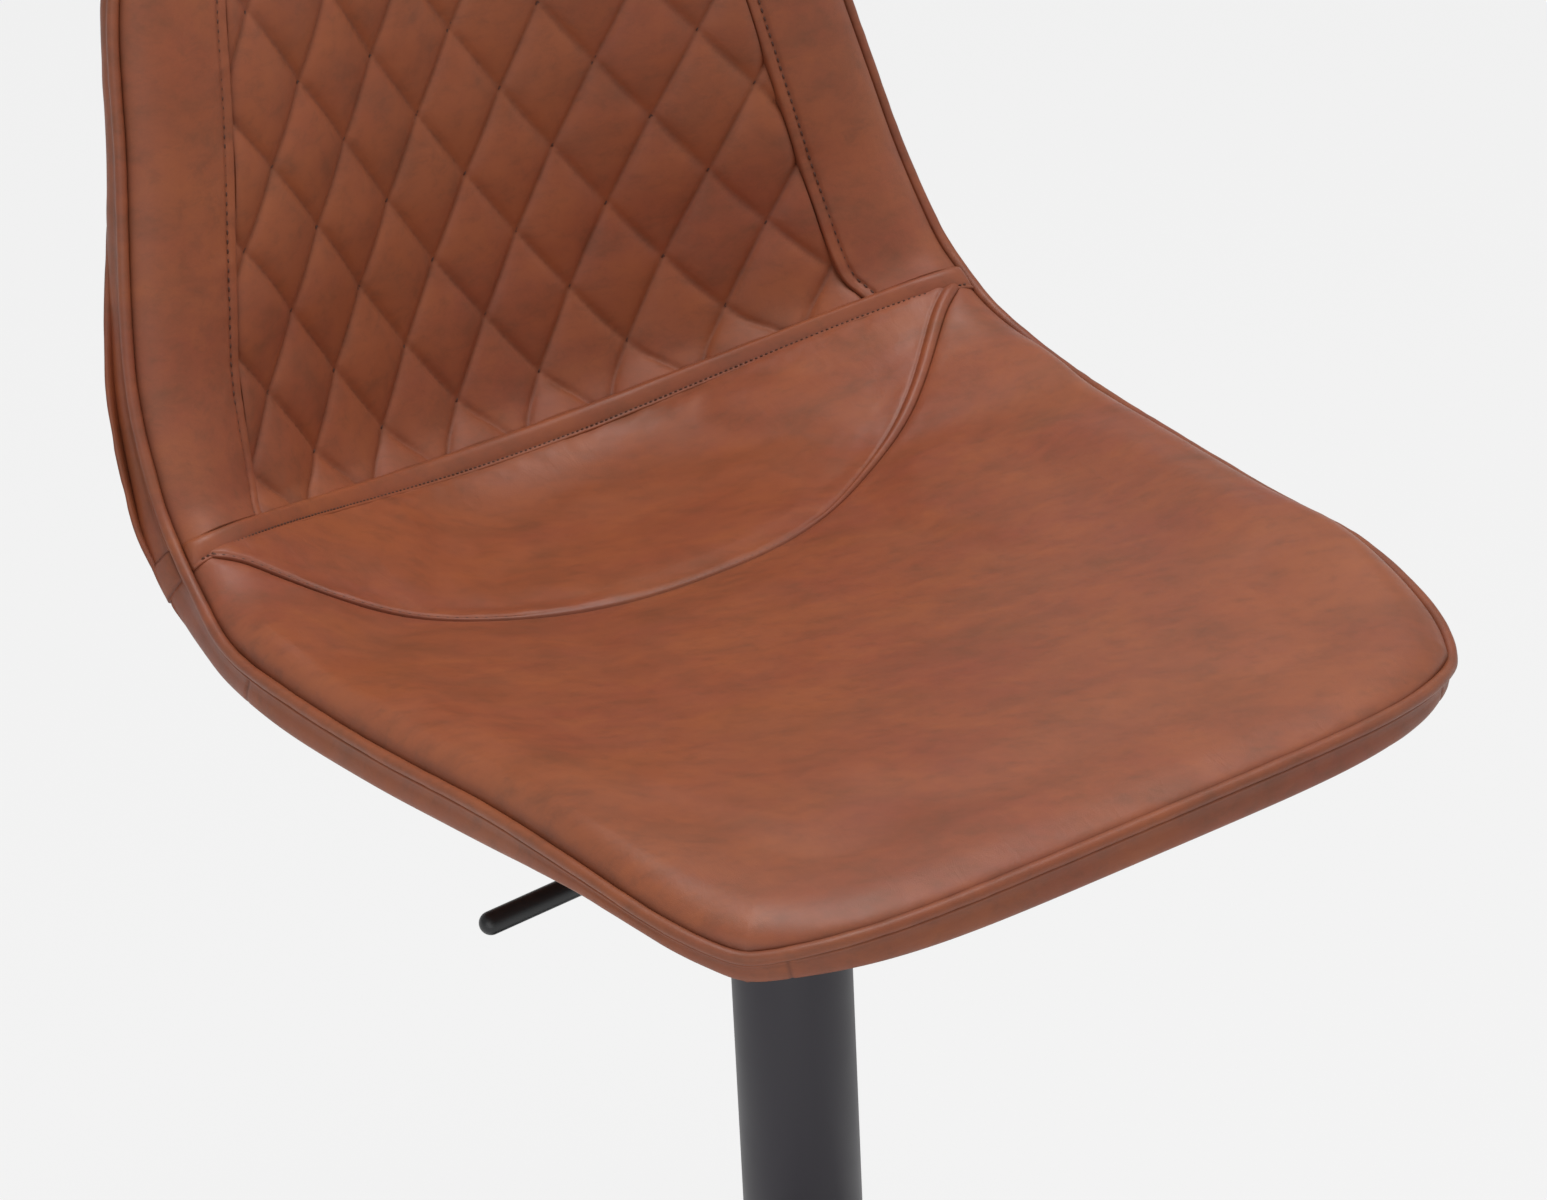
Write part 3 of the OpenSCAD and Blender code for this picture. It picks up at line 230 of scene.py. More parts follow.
class SeatForm:
    """The seat and back as one curved surface: s runs across it from -1 to 1, and t along its rows."""

    def __init__(self, sizes, end):
        share = np.array(ROW_SHARES)
        self.sizes = sizes
        self.half_width = sizes.seat_width / 2
        self.under_z = sizes.edge_height - sizes.pan_drop - sizes.pan_under
        self.rows = np.column_stack([
            self.depth(share[:, 0]), self.height(share[:, 1]), share[:, 2] * self.half_width,
            self.depth(share[:, 3]), self.height(share[:, 4]), share[:, 5], share[:, 6] * sizes.core_depth,
            share[:, end]])
        low_step = np.linalg.norm(self.point(0, STRAP_ROW) - self.point(0, STRAP_ROW - 1))
        self.strap_low_row = STRAP_ROW - sizes.strap / low_step
        s, t = self.outline_places()
        self.edge = self.point(s, t)
        self.edge_depth = self.thickness(s, t)

    def depth(self, share):
        """Distance in front of or behind the column."""
        return share * np.where(share < 0, self.sizes.seat_front, self.sizes.seat_rear)

    def height(self, share):
        """Height above the floor."""
        sizes = self.sizes
        return sizes.edge_height + share * np.where(share < 0, sizes.pan_drop, sizes.back_rise)

    def row(self, t):
        """One row between the given ones, on a smooth curve through them."""
        t = np.asarray(t, float)
        i = np.clip(np.floor(t), 0, len(self.rows) - 4).astype(int)
        return curve(*(self.rows[i + k] for k in range(4)), (t - i)[..., None])

    def point(self, s, t):
        """A point of the form."""
        s, t = np.broadcast_arrays(np.asarray(s, float), np.asarray(t, float))
        row = self.row(t)
        bow = 1 - np.maximum(1 - np.abs(s) ** row[..., 5], 0) ** row[..., 7]
        return np.stack([s * row[..., 2], row[..., 0] + (row[..., 3] - row[..., 0]) * bow,
                         row[..., 1] + (row[..., 4] - row[..., 1]) * bow], -1)

    def normal(self, s, t):
        """The direction towards the sitter, taken a little inside the corners."""
        e = 0.02
        a = np.clip(s, -0.94, 0.94)
        b = np.clip(t, 0.4, TOP_ROW - 0.4)
        return unit(np.cross(self.point(a + e, b) - self.point(a - e, b),
                             self.point(a, b + e) - self.point(a, b - e)))

    def place(self, s, t, height):
        """A point at a height above the form."""
        return self.point(s, t) + np.asarray(height)[..., None] * self.normal(s, t)

    def thickness(self, s, t):
        """Thickness of the seat under a place."""
        rows, depths = np.transpose(BAND_DEPTHS)
        edge = self.sizes.edge_depth * sum(np.interp(t + k * 0.2, rows, depths) for k in (-1, 0, 1)) / 3
        return edge + (self.row(t)[..., 6] - edge) * (1 - np.abs(s) ** UNDER_BOW) ** UNDER_ROLL

    def under(self, s, t, lift):
        """A point at a height above the underside, which is flat over the seat plate."""
        points = self.place(s, t, lift - self.thickness(s, t))
        points[..., 2] = np.maximum(points[..., 2], self.under_z + lift)
        return points

    def crescent(self, s):
        """The row of the crescent seam."""
        x = np.clip(np.abs(s) / CRESCENT_END, 0, 1)
        return CRESCENT_ROW + (self.strap_low_row - CRESCENT_GAP - CRESCENT_ROW) * x ** CRESCENT_BOW

    def crescent_seam(self, end):
        """Close points along the crescent seam, as far as an end on both sides."""
        s = np.linspace(-end, end, 900)
        return self.seam_line(s, self.crescent(s))

    def bolster(self, t):
        """Where the bolsters start on a row."""
        climb = (np.asarray(t) - STRAP_ROW) / (TOP_ROW - STRAP_ROW)
        return BOLSTER_LOW + (BOLSTER_HIGH - BOLSTER_LOW) * climb

    def bolster_seam(self, side):
        """Close points along the seam beside a bolster."""
        t = np.linspace(STRAP_ROW, TOP_ROW, 500)
        return self.seam_line(side * self.bolster(t), t)

    def seam_line(self, s, t):
        """Close points along a seam, for distances."""
        return evenly(self.point(s, t), 0.001)

    def row_step(self, s, t, share=0.1):
        """How long one row is at a place, measured over a share of it."""
        return np.linalg.norm(self.point(s, t + share) - self.point(s, t), axis=-1) / share

    def moved_in(self, s, t, inset):
        """Rows moved in from the front edge and from the top, which runs out two rows further in."""
        front = inset / self.row_step(s, 0) * np.maximum(0, 1 - t / 2)
        top = inset / self.row_step(s, TOP_ROW - 0.1) * np.maximum(0, 1 - (TOP_ROW - t) / 2)
        return t + front - top

    def outline_places(self):
        """Close places round the whole edge: the front, the right side, the top and the left side."""
        across = np.linspace(-1, 1, 600)
        along = np.linspace(0, TOP_ROW, 800)
        s = np.concatenate([across, np.ones(798), -across, -np.ones(799)])
        t = np.concatenate([np.zeros(600), along[1:-1], np.full(600, TOP_ROW), along[:0:-1]])
        return s, t


class Edge:
    """The outline of the seat at an even spacing, with the directions out of it and up from it."""

    def __init__(self, form, spacing=0.0016, blur=0.006):
        line, up, depth = evenly(form.edge, spacing, form.normal(*form.outline_places()),
                                 form.edge_depth[:, None])
        count = int(4 * blur / spacing)
        offsets = np.arange(-count, count + 1)
        weights = np.exp(-(offsets * spacing / blur) ** 2 / 2)
        weights /= weights.sum()

        def blurred(values):
            return sum(w * np.roll(values[:-1], -o, axis=0) for w, o in zip(weights, offsets))

        self.points = blurred(line)
        self.depth = blurred(depth)[:, 0]
        along = unit(np.roll(self.points, -1, axis=0) - np.roll(self.points, 1, axis=0))
        self.out = unit(np.cross(along, unit(blurred(up))))
        self.up = unit(np.cross(self.out, along))

    def offset(self, out, up):
        """The outline moved out and up, by one amount or by one for each point."""
        return self.points + np.reshape(out, (-1, 1)) * self.out + np.reshape(up, (-1, 1)) * self.up

    def nearest(self, point):
        """Index of the outline's point nearest to a given point."""
        return int(np.argmin(np.linalg.norm(self.points - point, axis=1)))


# Meshes from numbers

def add_mesh(name, points, faces, material, crease_shade=None, smooth=True):
    """A new mesh object, with the painted shade of its seams and creases as an attribute."""
    mesh = bpy.data.meshes.new(name)
    places = np.asarray(points, float).reshape(-1, 3).tolist()
    mesh.from_pydata(places, [], [list(map(int, face)) for face in faces])
    if crease_shade is not None:
        layer = mesh.attributes.new("crease_shade", "FLOAT", "POINT")
        layer.data.foreach_set("value", np.asarray(crease_shade, np.float32).ravel())
    mesh.materials.append(material)
    mesh.polygons.foreach_set("use_smooth", [smooth] * len(mesh.polygons))
    mesh.update()
    piece = bpy.data.objects.new(name, mesh)
    bpy.context.scene.collection.objects.link(piece)
    return piece


def grid_faces(n, m, first=0, turned=False):
    """Faces of a grid of points that runs n times m."""
    i, j = np.meshgrid(np.arange(n - 1), np.arange(m - 1), indexing="ij")
    a = (i * m + j).ravel() + first
    faces = np.stack([a, a + m, a + m + 1, a + 1], 1)
    return faces[:, ::-1] if turned else faces


def add_pad(name, top, low, material, crease_shade=None):
    """A closed pad between two grids of points that match."""
    n, m = top.shape[:2]
    size = n * m
    index = np.arange(size).reshape(n, m)
    border = np.concatenate([index[:-1, 0], index[-1, :-1], index[:0:-1, -1], index[0, :0:-1]])
    after = np.roll(border, -1)
    sides = np.stack([border, border + size, after + size, after], 1)
    faces = np.concatenate([grid_faces(n, m), grid_faces(n, m, size, True), sides])
    # Here depth is the painted crease shade of the top, with none on the underside
    depth = np.zeros((n, m)) if crease_shade is None else crease_shade
    return add_mesh(name, np.concatenate([top.reshape(-1, 3), low.reshape(-1, 3)]), faces, material,
                    np.concatenate([depth.ravel(), np.zeros(size)]))


def add_sweep(name, rings, material, closed, crease_shade=None):
    """A tube or band through rings of points, closed on itself or with flat ends."""
    n, m = rings.shape[:2]
    last = n if closed else n - 1
    i, j = np.meshgrid(np.arange(last), np.arange(m), indexing="ij")
    a, b = i * m + j, i * m + (j + 1) % m
    c, d = ((i + 1) % n) * m + j, ((i + 1) % n) * m + (j + 1) % m
    faces = [list(f) for f in np.stack([a.ravel(), b.ravel(), d.ravel(), c.ravel()], 1)]
    if not closed:
        faces += [list(range(m - 1, -1, -1)), list(range((n - 1) * m, n * m))]
    return add_mesh(name, rings, faces, material, crease_shade)


# The share of a stitch's length that is thread, and how high the thread's middle lies in thicknesses
THREAD_SHARE = 0.60
THREAD_LIFT = 0.35


def capsule(length, radius, sides=6):
    """Points and faces of one stitch that lies along X and dips into the leather at both ends."""
    places = np.array([-0.5, -0.36, 0, 0.36, 0.5]) * length
    widths = np.array([0.3, 0.9, 1, 0.9, 0.3]) * radius
    drops = np.array([-1.2, -0.2, 0.3, -0.2, -1.2]) * radius
    angle = np.linspace(0, 2 * np.pi, sides, endpoint=False)
    rings = np.stack([np.stack([np.full(sides, x), w * np.cos(angle), w * np.sin(angle) + z], 1)
                      for x, w, z in zip(places, widths, drops)])
    last = (len(places) - 1) * sides
    faces = []
    for ring in range(0, last, sides):
        for j in range(sides):
            a, b = ring + j, ring + (j + 1) % sides
            faces.append((a, a + sides, b + sides, b))
    faces += [range(sides), range(last + sides - 1, last - 1, -1)]
    return rings.reshape(-1, 3), faces


def add_stitches(name, seams, sink=0.0, share=1.0):
    """Stitches along seams, each given as a line of points and the directions up from them.

    They are sunk into the leather by a depth, and have a share of the usual length."""
    sizes = bpy.context.scene.stool_sizes
    step = sizes.stitch * share
    body, faces = capsule(step * THREAD_SHARE, sizes.thread / 2)
    points, all_faces = [], []
    for line, up in seams:
        centres, ups = evenly(line, step, up)
        along = unit(np.gradient(centres, axis=0))
        side = unit(np.cross(unit(ups), along))
        ups = np.cross(along, side)
        centres = centres + (sizes.thread * THREAD_LIFT - sink) * ups
        for c, x, y, z in zip(centres, along, side, ups):
            start = len(points) * len(body)
            points.append(c + body[:, :1] * x + body[:, 1:2] * y + body[:, 2:] * z)
            all_faces += [[start + k for k in face] for face in faces]
    seat_piece(add_mesh(name, np.concatenate(points), all_faces, material("thread")), None)


def seat_piece(piece, slot, *nodes):
    """Puts a piece on the seat's body in place of its CAD nodes; the name of its finish is not used."""
    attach(piece, "seat")
    if nodes:
        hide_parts(*nodes)


# Cloth

# The cloth takes one point in so many each way, runs for so many frames and is evened out so many times
CLOTH_STEP = 3
CLOTH_FRAMES = 20
CLOTH_SMOOTHING = 3


def pressed_sheet(points, held, pressure, cap):
    """The grid of points after the air under it has pushed it out between its held points.

    Every point stays within the cap of where it was, and the sheet is removed afterwards."""
    n, m = points.shape[:2]
    sheet = add_mesh("cloth_sheet", points, grid_faces(n, m), bpy.data.materials.new("cloth_sheet"))
    group = sheet.vertex_groups.new(name="held")
    group.add([int(i) for i in np.flatnonzero(held.ravel())], 1.0, "REPLACE")
    cloth = sheet.modifiers.new("Cloth", "CLOTH")
    settings = cloth.settings
    settings.quality = 6
    settings.mass = 0.3
    settings.tension_stiffness = 40
    settings.compression_stiffness = 40
    settings.shear_stiffness = 15
    settings.bending_stiffness = 6
    settings.air_damping = 2
    settings.use_pressure = True
    settings.uniform_pressure_force = pressure
    settings.vertex_group_mass = "held"
    settings.effector_weights.gravity = 0
    cloth.collision_settings.use_collision = False
    scene = bpy.context.scene
    for number in range(1, CLOTH_FRAMES + 1):
        scene.frame_set(number)
    moved = sheet.evaluated_get(bpy.context.evaluated_depsgraph_get())
    result = np.empty(n * m * 3, np.float32)
    moved.data.vertices.foreach_get("co", result)
    scene.frame_set(1)
    mesh = sheet.data
    bpy.data.objects.remove(sheet)
    bpy.data.meshes.remove(mesh)
    shift = result.reshape(n, m, 3).astype(float) - points
    far = np.linalg.norm(shift, axis=-1, keepdims=True)
    return points + shift * np.minimum(1, cap / np.maximum(far, 1e-9))


def puffed(form, s, t, heights, held, pressure, cap):
    """How much higher a cover lies than planned, once it is pushed out by its padding."""
    size = heights.shape
    s, t, heights, held = (values[::CLOTH_STEP, ::CLOTH_STEP] for values in (s, t, heights, held))
    start = form.place(s, t, heights)
    shift = pressed_sheet(start, held, pressure, cap) - start
    rise = np.maximum(0, (shift * form.normal(s, t)).sum(-1))
    for _ in range(CLOTH_SMOOTHING):
        rise = smoothed(rise) * ~held
    return spread_heights(rise, *size)


def smoothed(values):
    """Each value of a grid, evened out with its neighbours."""
    padded = np.pad(values, 1, mode="edge")
    sides = padded[2:, 1:-1] + padded[:-2, 1:-1] + padded[1:-1, 2:] + padded[1:-1, :-2]
    return values / 2 + sides / 8


def spread_heights(heights, n, m):
    """Heights on a coarse grid, spread smoothly over a finer one."""
    rows = np.linspace(0, heights.shape[0] - 1, n)
    columns = np.linspace(0, heights.shape[1] - 1, m)
    first = np.stack([spread_line(rows, line) for line in heights.T], 1)
    return np.stack([spread_line(columns, line) for line in first], 0)


def spread_line(places, values):
    """Values between evenly spaced ones, on a smooth curve."""
    padded = np.concatenate([values[:1], values, values[-1:], values[-1:]])
    i = np.clip(np.floor(places).astype(int), 0, len(values) - 1)
    return curve(*(padded[i + k] for k in range(4)), places - i)


# Materials

# Heading of the leather's grain on the seat, in degrees from the X axis
LEATHER_TURN = -25


class Shader:
    """A material with a Principled shader, and short calls that add nodes to it."""

    def __init__(self, name):
        self.material = bpy.data.materials.new(name)
        self.material.use_nodes = True
        self.tree = self.material.node_tree
        self.shader = self.tree.nodes["Principled BSDF"]
        self.places = self.tree.nodes.new("ShaderNodeTexCoord").outputs["Object"]

    def fill(self, socket, value):
        """Links another socket to this one, or sets its value."""
        if isinstance(value, bpy.types.NodeSocket):
            self.tree.links.new(value, socket)
        else:
            socket.default_value = value

    def node(self, kind, inputs=None, **settings):
        """A new node with its settings, and with its inputs set or linked."""
        made = self.tree.nodes.new(kind)
        for key, value in settings.items():
            setattr(made, key, value)
        for key, value in (inputs or {}).items():
            self.fill(made.inputs[key], value)
        return made

    def stretched(self, x, y, z):
        """The object's own coordinates, stretched along its axes."""
        return self.node("ShaderNodeMapping", {"Vector": self.places, "Scale": (x, y, z)}).outputs["Vector"]

    def turned(self, degrees, x, y, z):
        """The object's own coordinates, turned about Z and then made longer along the turned axes."""
        return self.node("ShaderNodeMapping", {
            "Vector": self.places, "Rotation": (0, 0, math.radians(degrees)), "Scale": (x, y, z)},
            vector_type="TEXTURE").outputs["Vector"]

    def noise(self, scale, detail=4.0, roughness=0.55, vector=None, distortion=0.0):
        """Cloudy noise from 0 to 1."""
        return self.node("ShaderNodeTexNoise", {
            "Vector": vector or self.places, "Scale": scale, "Detail": detail, "Roughness": roughness,
            "Distortion": distortion}).outputs["Fac"]

    def cells(self, scale):
        """Distances from the borders in a pattern of cells."""
        return self.node("ShaderNodeTexVoronoi", {"Vector": self.places, "Scale": scale},
                         feature="DISTANCE_TO_EDGE").outputs["Distance"]

    def spread(self, value, low, high, to_low=0.0, to_high=1.0):
        """A value moved from one range to another, and kept inside it."""
        return self.node("ShaderNodeMapRange", {
            "Value": value, "From Min": low, "From Max": high, "To Min": to_low,
            "To Max": to_high}).outputs["Result"]

    def math(self, operation, first, second):
        """Two values in one sum."""
        return self.node("ShaderNodeMath", {0: first, 1: second}, operation=operation).outputs["Value"]

    def mix(self, share, first, second):
        """Two colours mixed."""
        made = self.node("ShaderNodeMix", data_type="RGBA")
        sockets = {socket.identifier: socket for socket in (*made.inputs, *made.outputs)}
        for key, value in (("Factor_Float", share), ("A_Color", first), ("B_Color", second)):
            self.fill(sockets[key], value)
        return sockets["Result_Color"]

    def bump(self, height, distance, strength=1.0, under=None):
        """A bump of a real height, over another one if given."""
        inputs = {"Height": height, "Distance": distance, "Strength": strength}
        if under:
            inputs["Normal"] = under
        return self.node("ShaderNodeBump", inputs).outputs["Normal"]

    def finish(self, **values):
        """Sets or links the shader's own sockets by name, with spaces as underscores."""
        for key, value in values.items():
            self.fill(self.shader.inputs[key.replace("_", " ")], value)
        return self.material


def shaded(tone, share):
    """A colour made darker or lighter."""
    return [c * share for c in tone[:3]] + [1]


def leather_material(colours, name="saddle_leather", shade=1.0, dull=0.0):
    """Smooth waxed leather: cloudy brown with orange patches and dark flecks, fine grain and soft gloss."""
    make = Shader(name)
    # shade darkens or lightens the whole copy; on the quilted back it is painted shade
    base, red, light, dark = (shaded(tone, shade) for tone in (
        colours.leather, colours.leather_red, colours.leather_light, colours.leather_dark))
    across = make.turned(LEATHER_TURN, 1.7, 1.0, 1.0)
    clouds = make.noise(15, 4, 0.60, across, 0.3)
    patches = make.noise(42, 6, 0.68, across, 0.3)
    flecks = make.noise(130, 5, 0.70, across, 0.3)
    tone = make.mix(make.spread(clouds, 0.38, 0.66, 0, 0.8), base, red)
    tone = make.mix(make.spread(make.noise(6, 2, 0.5), 0.45, 0.75, 0, 0.6), tone, light)
    tone = make.mix(make.spread(patches, 0.50, 0.75, 0, 0.65), tone, light)
    tone = make.mix(make.spread(patches, 0.50, 0.25, 0, 0.60), tone, dark)
    tone = make.mix(make.spread(flecks, 0.50, 0.28, 0, 0.45), tone, dark)
    tone = make.mix(make.spread(flecks, 0.55, 0.78, 0, 0.30), tone, light)
    # Painted shade: darker where the crease shade attribute marks a seam or crease
    crease_shade = make.node("ShaderNodeAttribute", attribute_name="crease_shade").outputs["Fac"]
    tone = make.mix(make.spread(crease_shade, 0.0, 1.0, 0, 0.9), tone, colours.crease_shade)
    grain = make.cells(1500)
    wrinkle = make.noise(60, 5, 0.6, make.stretched(1.6, 0.7, 1.0), 1.2)
    normal = make.bump(wrinkle, 0.0006, 0.40)
    normal = make.bump(make.spread(grain, 0.0, 0.10, 0, 1), 0.00010, 0.30, normal)
    normal = make.bump(make.noise(2600, 2, 0.5), 0.00005, 0.30, normal)
    gloss = make.spread(make.noise(38, 3, 0.5), 0.3, 0.7, 0.44 + dull, 0.54 + dull)
    return make.finish(Base_Color=tone, Roughness=gloss, Normal=normal, Specular_IOR_Level=0.38,
                       Coat_Weight=0.10, Coat_Roughness=0.36 + dull)


def thread_material(colours):
    """Waxed thread with its twist."""
    make = Shader("sewing_thread")
    twist = make.noise(3000, 2, 0.5, make.stretched(1.0, 0.4, 1.0))
    # The twist's darker tone borrows the crease shade colour; here it is the thread's own tone
    tone = make.mix(make.spread(twist, 0.3, 0.7, 0, 0.5), colours.thread, colours.crease_shade)
    return make.finish(Base_Color=tone, Roughness=0.6, Normal=make.bump(twist, 0.0001, 0.6))


def paint_material(colours):
    """Matt powder coat with a fine orange peel and a slight mist of lighter specks."""
    make = Shader("matt_powder_coat")
    peel = make.noise(1400, 3, 0.5)
    cloud = make.noise(22, 3, 0.5)
    tone = make.mix(make.spread(cloud, 0.35, 0.7, 0, 0.25), colours.paint, shaded(colours.paint, 1.5))
    return make.finish(Base_Color=tone, Roughness=make.spread(cloud, 0.3, 0.7, 0.44, 0.52),
                       Normal=make.bump(peel, 0.00006, 0.35), Specular_IOR_Level=0.5)


def plastic_material(colours):
    """Moulded black plastic with a fine spark-eroded grain."""
    make = Shader("black_moulding")
    grain = make.noise(2200, 3, 0.6)
    cloud = make.spread(make.noise(30), 0.4, 0.7, 0, 0.3)
    tone = make.mix(cloud, colours.plastic, shaded(colours.plastic, 1.6))
    return make.finish(Base_Color=tone, Roughness=0.38, Normal=make.bump(grain, 0.00004, 0.3))


def steel_material(colours, name, roughness, shade):
    """Bare or plated steel with fine turning marks round the column's axis."""
    make = Shader(name)
    marks = make.noise(60, 4, 0.6, make.stretched(1, 1, 60))
    tone = make.mix(make.spread(marks, 0.3, 0.7), shaded(colours.steel, shade),
                    shaded(colours.steel, shade * 0.8))
    rough = make.spread(marks, 0.3, 0.7, roughness, roughness + 0.1)
    return make.finish(Base_Color=tone, Metallic=1.0, Roughness=rough,
                       Normal=make.bump(marks, 0.00003, 0.3))


def rough_material(name, tone, darker, scale, roughness, depth):
    """A plain rough finish: rubber, foam, cast iron or bearing plastic."""
    make = Shader(name)
    spots = make.noise(scale, 5, 0.65)
    mixed = make.mix(make.spread(spots, 0.35, 0.7), tone, shaded(tone, darker))
    return make.finish(Base_Color=mixed, Roughness=roughness, Normal=make.bump(spots, depth, 0.5))


def plywood_material(colours):
    """Beech plywood with its long grain."""
    make = Shader("moulded_plywood")
    grain = make.noise(40, 6, 0.6, make.stretched(6, 0.6, 0.6), 1.5)
    tone = make.mix(make.spread(grain, 0.35, 0.65), colours.plywood, shaded(colours.plywood, 0.72))
    return make.finish(Base_Color=tone, Roughness=0.6, Normal=make.bump(grain, 0.0002, 0.4))


# Colour of the bearing's plastic parts
BEARING_TONE = (0.62, 0.60, 0.54, 1)


@cache
def material(key):
    """One of the stool's materials, made when it is first asked for."""
    colours = bpy.context.scene.stool_colours
    makers = {
        "leather": lambda: leather_material(colours),
        # The quilted copy is 2% darker as painted shade on the upright back, and duller; the edge copy is
        # 8% darker
        "quilt_leather_painted_shade": lambda: leather_material(colours, "quilted_leather_painted_shade", 0.98, 0.12),
        "edge_leather": lambda: leather_material(colours, "edge_leather", 0.92),
        "thread": lambda: thread_material(colours),
        "paint": lambda: paint_material(colours),
        "plastic": lambda: plastic_material(colours),
        "ground_steel": lambda: steel_material(colours, "ground_steel", 0.18, 1.0),
        "zinc_steel": lambda: steel_material(colours, "zinc_plated_steel", 0.34, 0.9),
        "aluminium": lambda: steel_material(colours, "turned_aluminium", 0.30, 1.15),
        "rubber": lambda: rough_material("rubber", colours.rubber, 0.6, 500, 0.78, 0.0002),
        "foam": lambda: rough_material("cushion_foam", colours.foam, 0.75, 900, 0.9, 0.0008),
        "iron": lambda: rough_material("cast_iron", colours.iron, 0.6, 260, 0.7, 0.0004),
        "bearing": lambda: rough_material("bearing_plastic", BEARING_TONE, 0.9, 300, 0.45, 0.00005),
        "plywood": lambda: plywood_material(colours),
    }
    return makers[key]()


# Upholstery

# How far a pad dips below the form at its edge, and how far it reaches in under the piping
PAD_DIP = 0.0008
PIPING_TUCK = 0.0006
# Width of the roll along the edge, on the seat and on the bolsters, and how far the hip's starts inside
SEAT_ROLL = 0.024
BOLSTER_ROLL = 0.022
HIP_INSET = 0.002
# How much higher the bolsters are than the back's crown, and how far their stitches lie from their seam
BOLSTER_RISE = 0.0027
BOLSTER_STITCHES = 0.0062
# How far the pads' undersides lie below the shell's form
PAD_FLOOR = 0.0011
# Height of the small folds beside a seam, and of those in the plain covers
PUCKER = 0.0004
COVER_PUCKER = 0.0007


@cache
def seat_form(end=PADDING_END):
    """The form that the padding follows, or the shell's own, each made once."""
    return SeatForm(bpy.context.scene.stool_sizes, end)


@cache
def seat_edge():
    """The outline of the padding, made once."""
    return Edge(seat_form())


def pad_floor(s, t):
    """The underside of a pad, just under the shell's own form."""
    return seat_form(SHELL_END).place(s, t, -PAD_FLOOR)


def crowned(rise, side):
    """Height of a pad with a rolled edge, from its dip at the piping up to its rise."""
    return (rise + PAD_DIP) * side - PAD_DIP


def puckers(points, distance, reach, size, seed, height=PUCKER):
    """Small folds that a seam pulls into the leather beside it."""
    return height * soft_noise(points, size, seed) * np.exp(-distance / reach)


def closer_ends(count, share):
    """Places from 0 to 1, drawn closer together at both ends by a share."""
    x = np.linspace(0, 1, count)
    return (1 - share) * x + share * (1 - np.cos(np.pi * x)) / 2


def make_seat_cushion():
    """The plain seat panel: crowned, rolled down to the piping and drawn in at the crescent seam."""
    form, sizes = seat_form(), bpy.context.scene.stool_sizes
    inset = sizes.piping / 2 - PIPING_TUCK
    even = np.linspace(-1, 1, 271)
    bend = np.pi / 2 * 0.97
    across = 0.55 * np.sin(even * bend) / np.sin(bend) + 0.45 * even
    a, b = np.meshgrid(across, closer_ends(199, 0.45), indexing="ij")
    s = a * (1 - inset / form.half_width)
    t = form.moved_in(s, b * form.crescent(s), inset)
    points = form.point(s, t)
    edge = distance_to(points, form.edge)
    seam = distance_to(points, form.crescent_seam(CRESCENT_END))
    # The crown, plumper along the sides, and drawn in at the crescent seam
    plump = smooth_step(t, 0.6, 2.2) * (1 - smooth_step(t, 5.4, 6.8))
    side = roll(edge - inset, SEAT_ROLL - 0.012 * plump)
    height = crowned(sizes.leather + sizes.seat_crown, side)
    height += 0.0050 * plump * side * (1 - smooth_step(edge, 0.012, 0.075))
    height -= 0.0016 * (1 - roll(seam, 0.006)) * smooth_step(edge, 0.0, 0.02)
    held = (edge < inset + 0.002) | (seam < 0.003)
    height += puffed(form, s, t, height, held, 3.0, 0.004)
    # Unevenness of the leather, and small folds beside the seams
    height += 0.0007 * soft_noise(points, 0.07, 1) * side
    height += puckers(points, edge, 0.010, 0.012, 2) * smooth_step(edge, 0.003, 0.007)
    height += puckers(points, seam, 0.010, 0.007, 3) * smooth_step(seam, 0.001, 0.005)
    # Painted shade along the piping and in the crescent seam
    crease_shade = np.maximum(0.5 * ridge(edge, inset, 0.0012), 0.3 * ridge(seam, 0, 0.0008))
    piece = add_pad("seat_cushion", form.place(s, t, height), pad_floor(s, t), material("leather"), crease_shade)
    seat_piece(piece, "leather", "seat_panel")


def rib_width(s):
    """Width of the raised rib beside the crescent seam, wide at the right end."""
    return 0.0013 + 0.0052 * smooth_step(s, 0.20, 0.80)


def rib_raised(s):
    """How far the rib stands out of the leather beside it: not on the left, and fully at the right end."""
    return smooth_step(s, 0.15, 0.75)


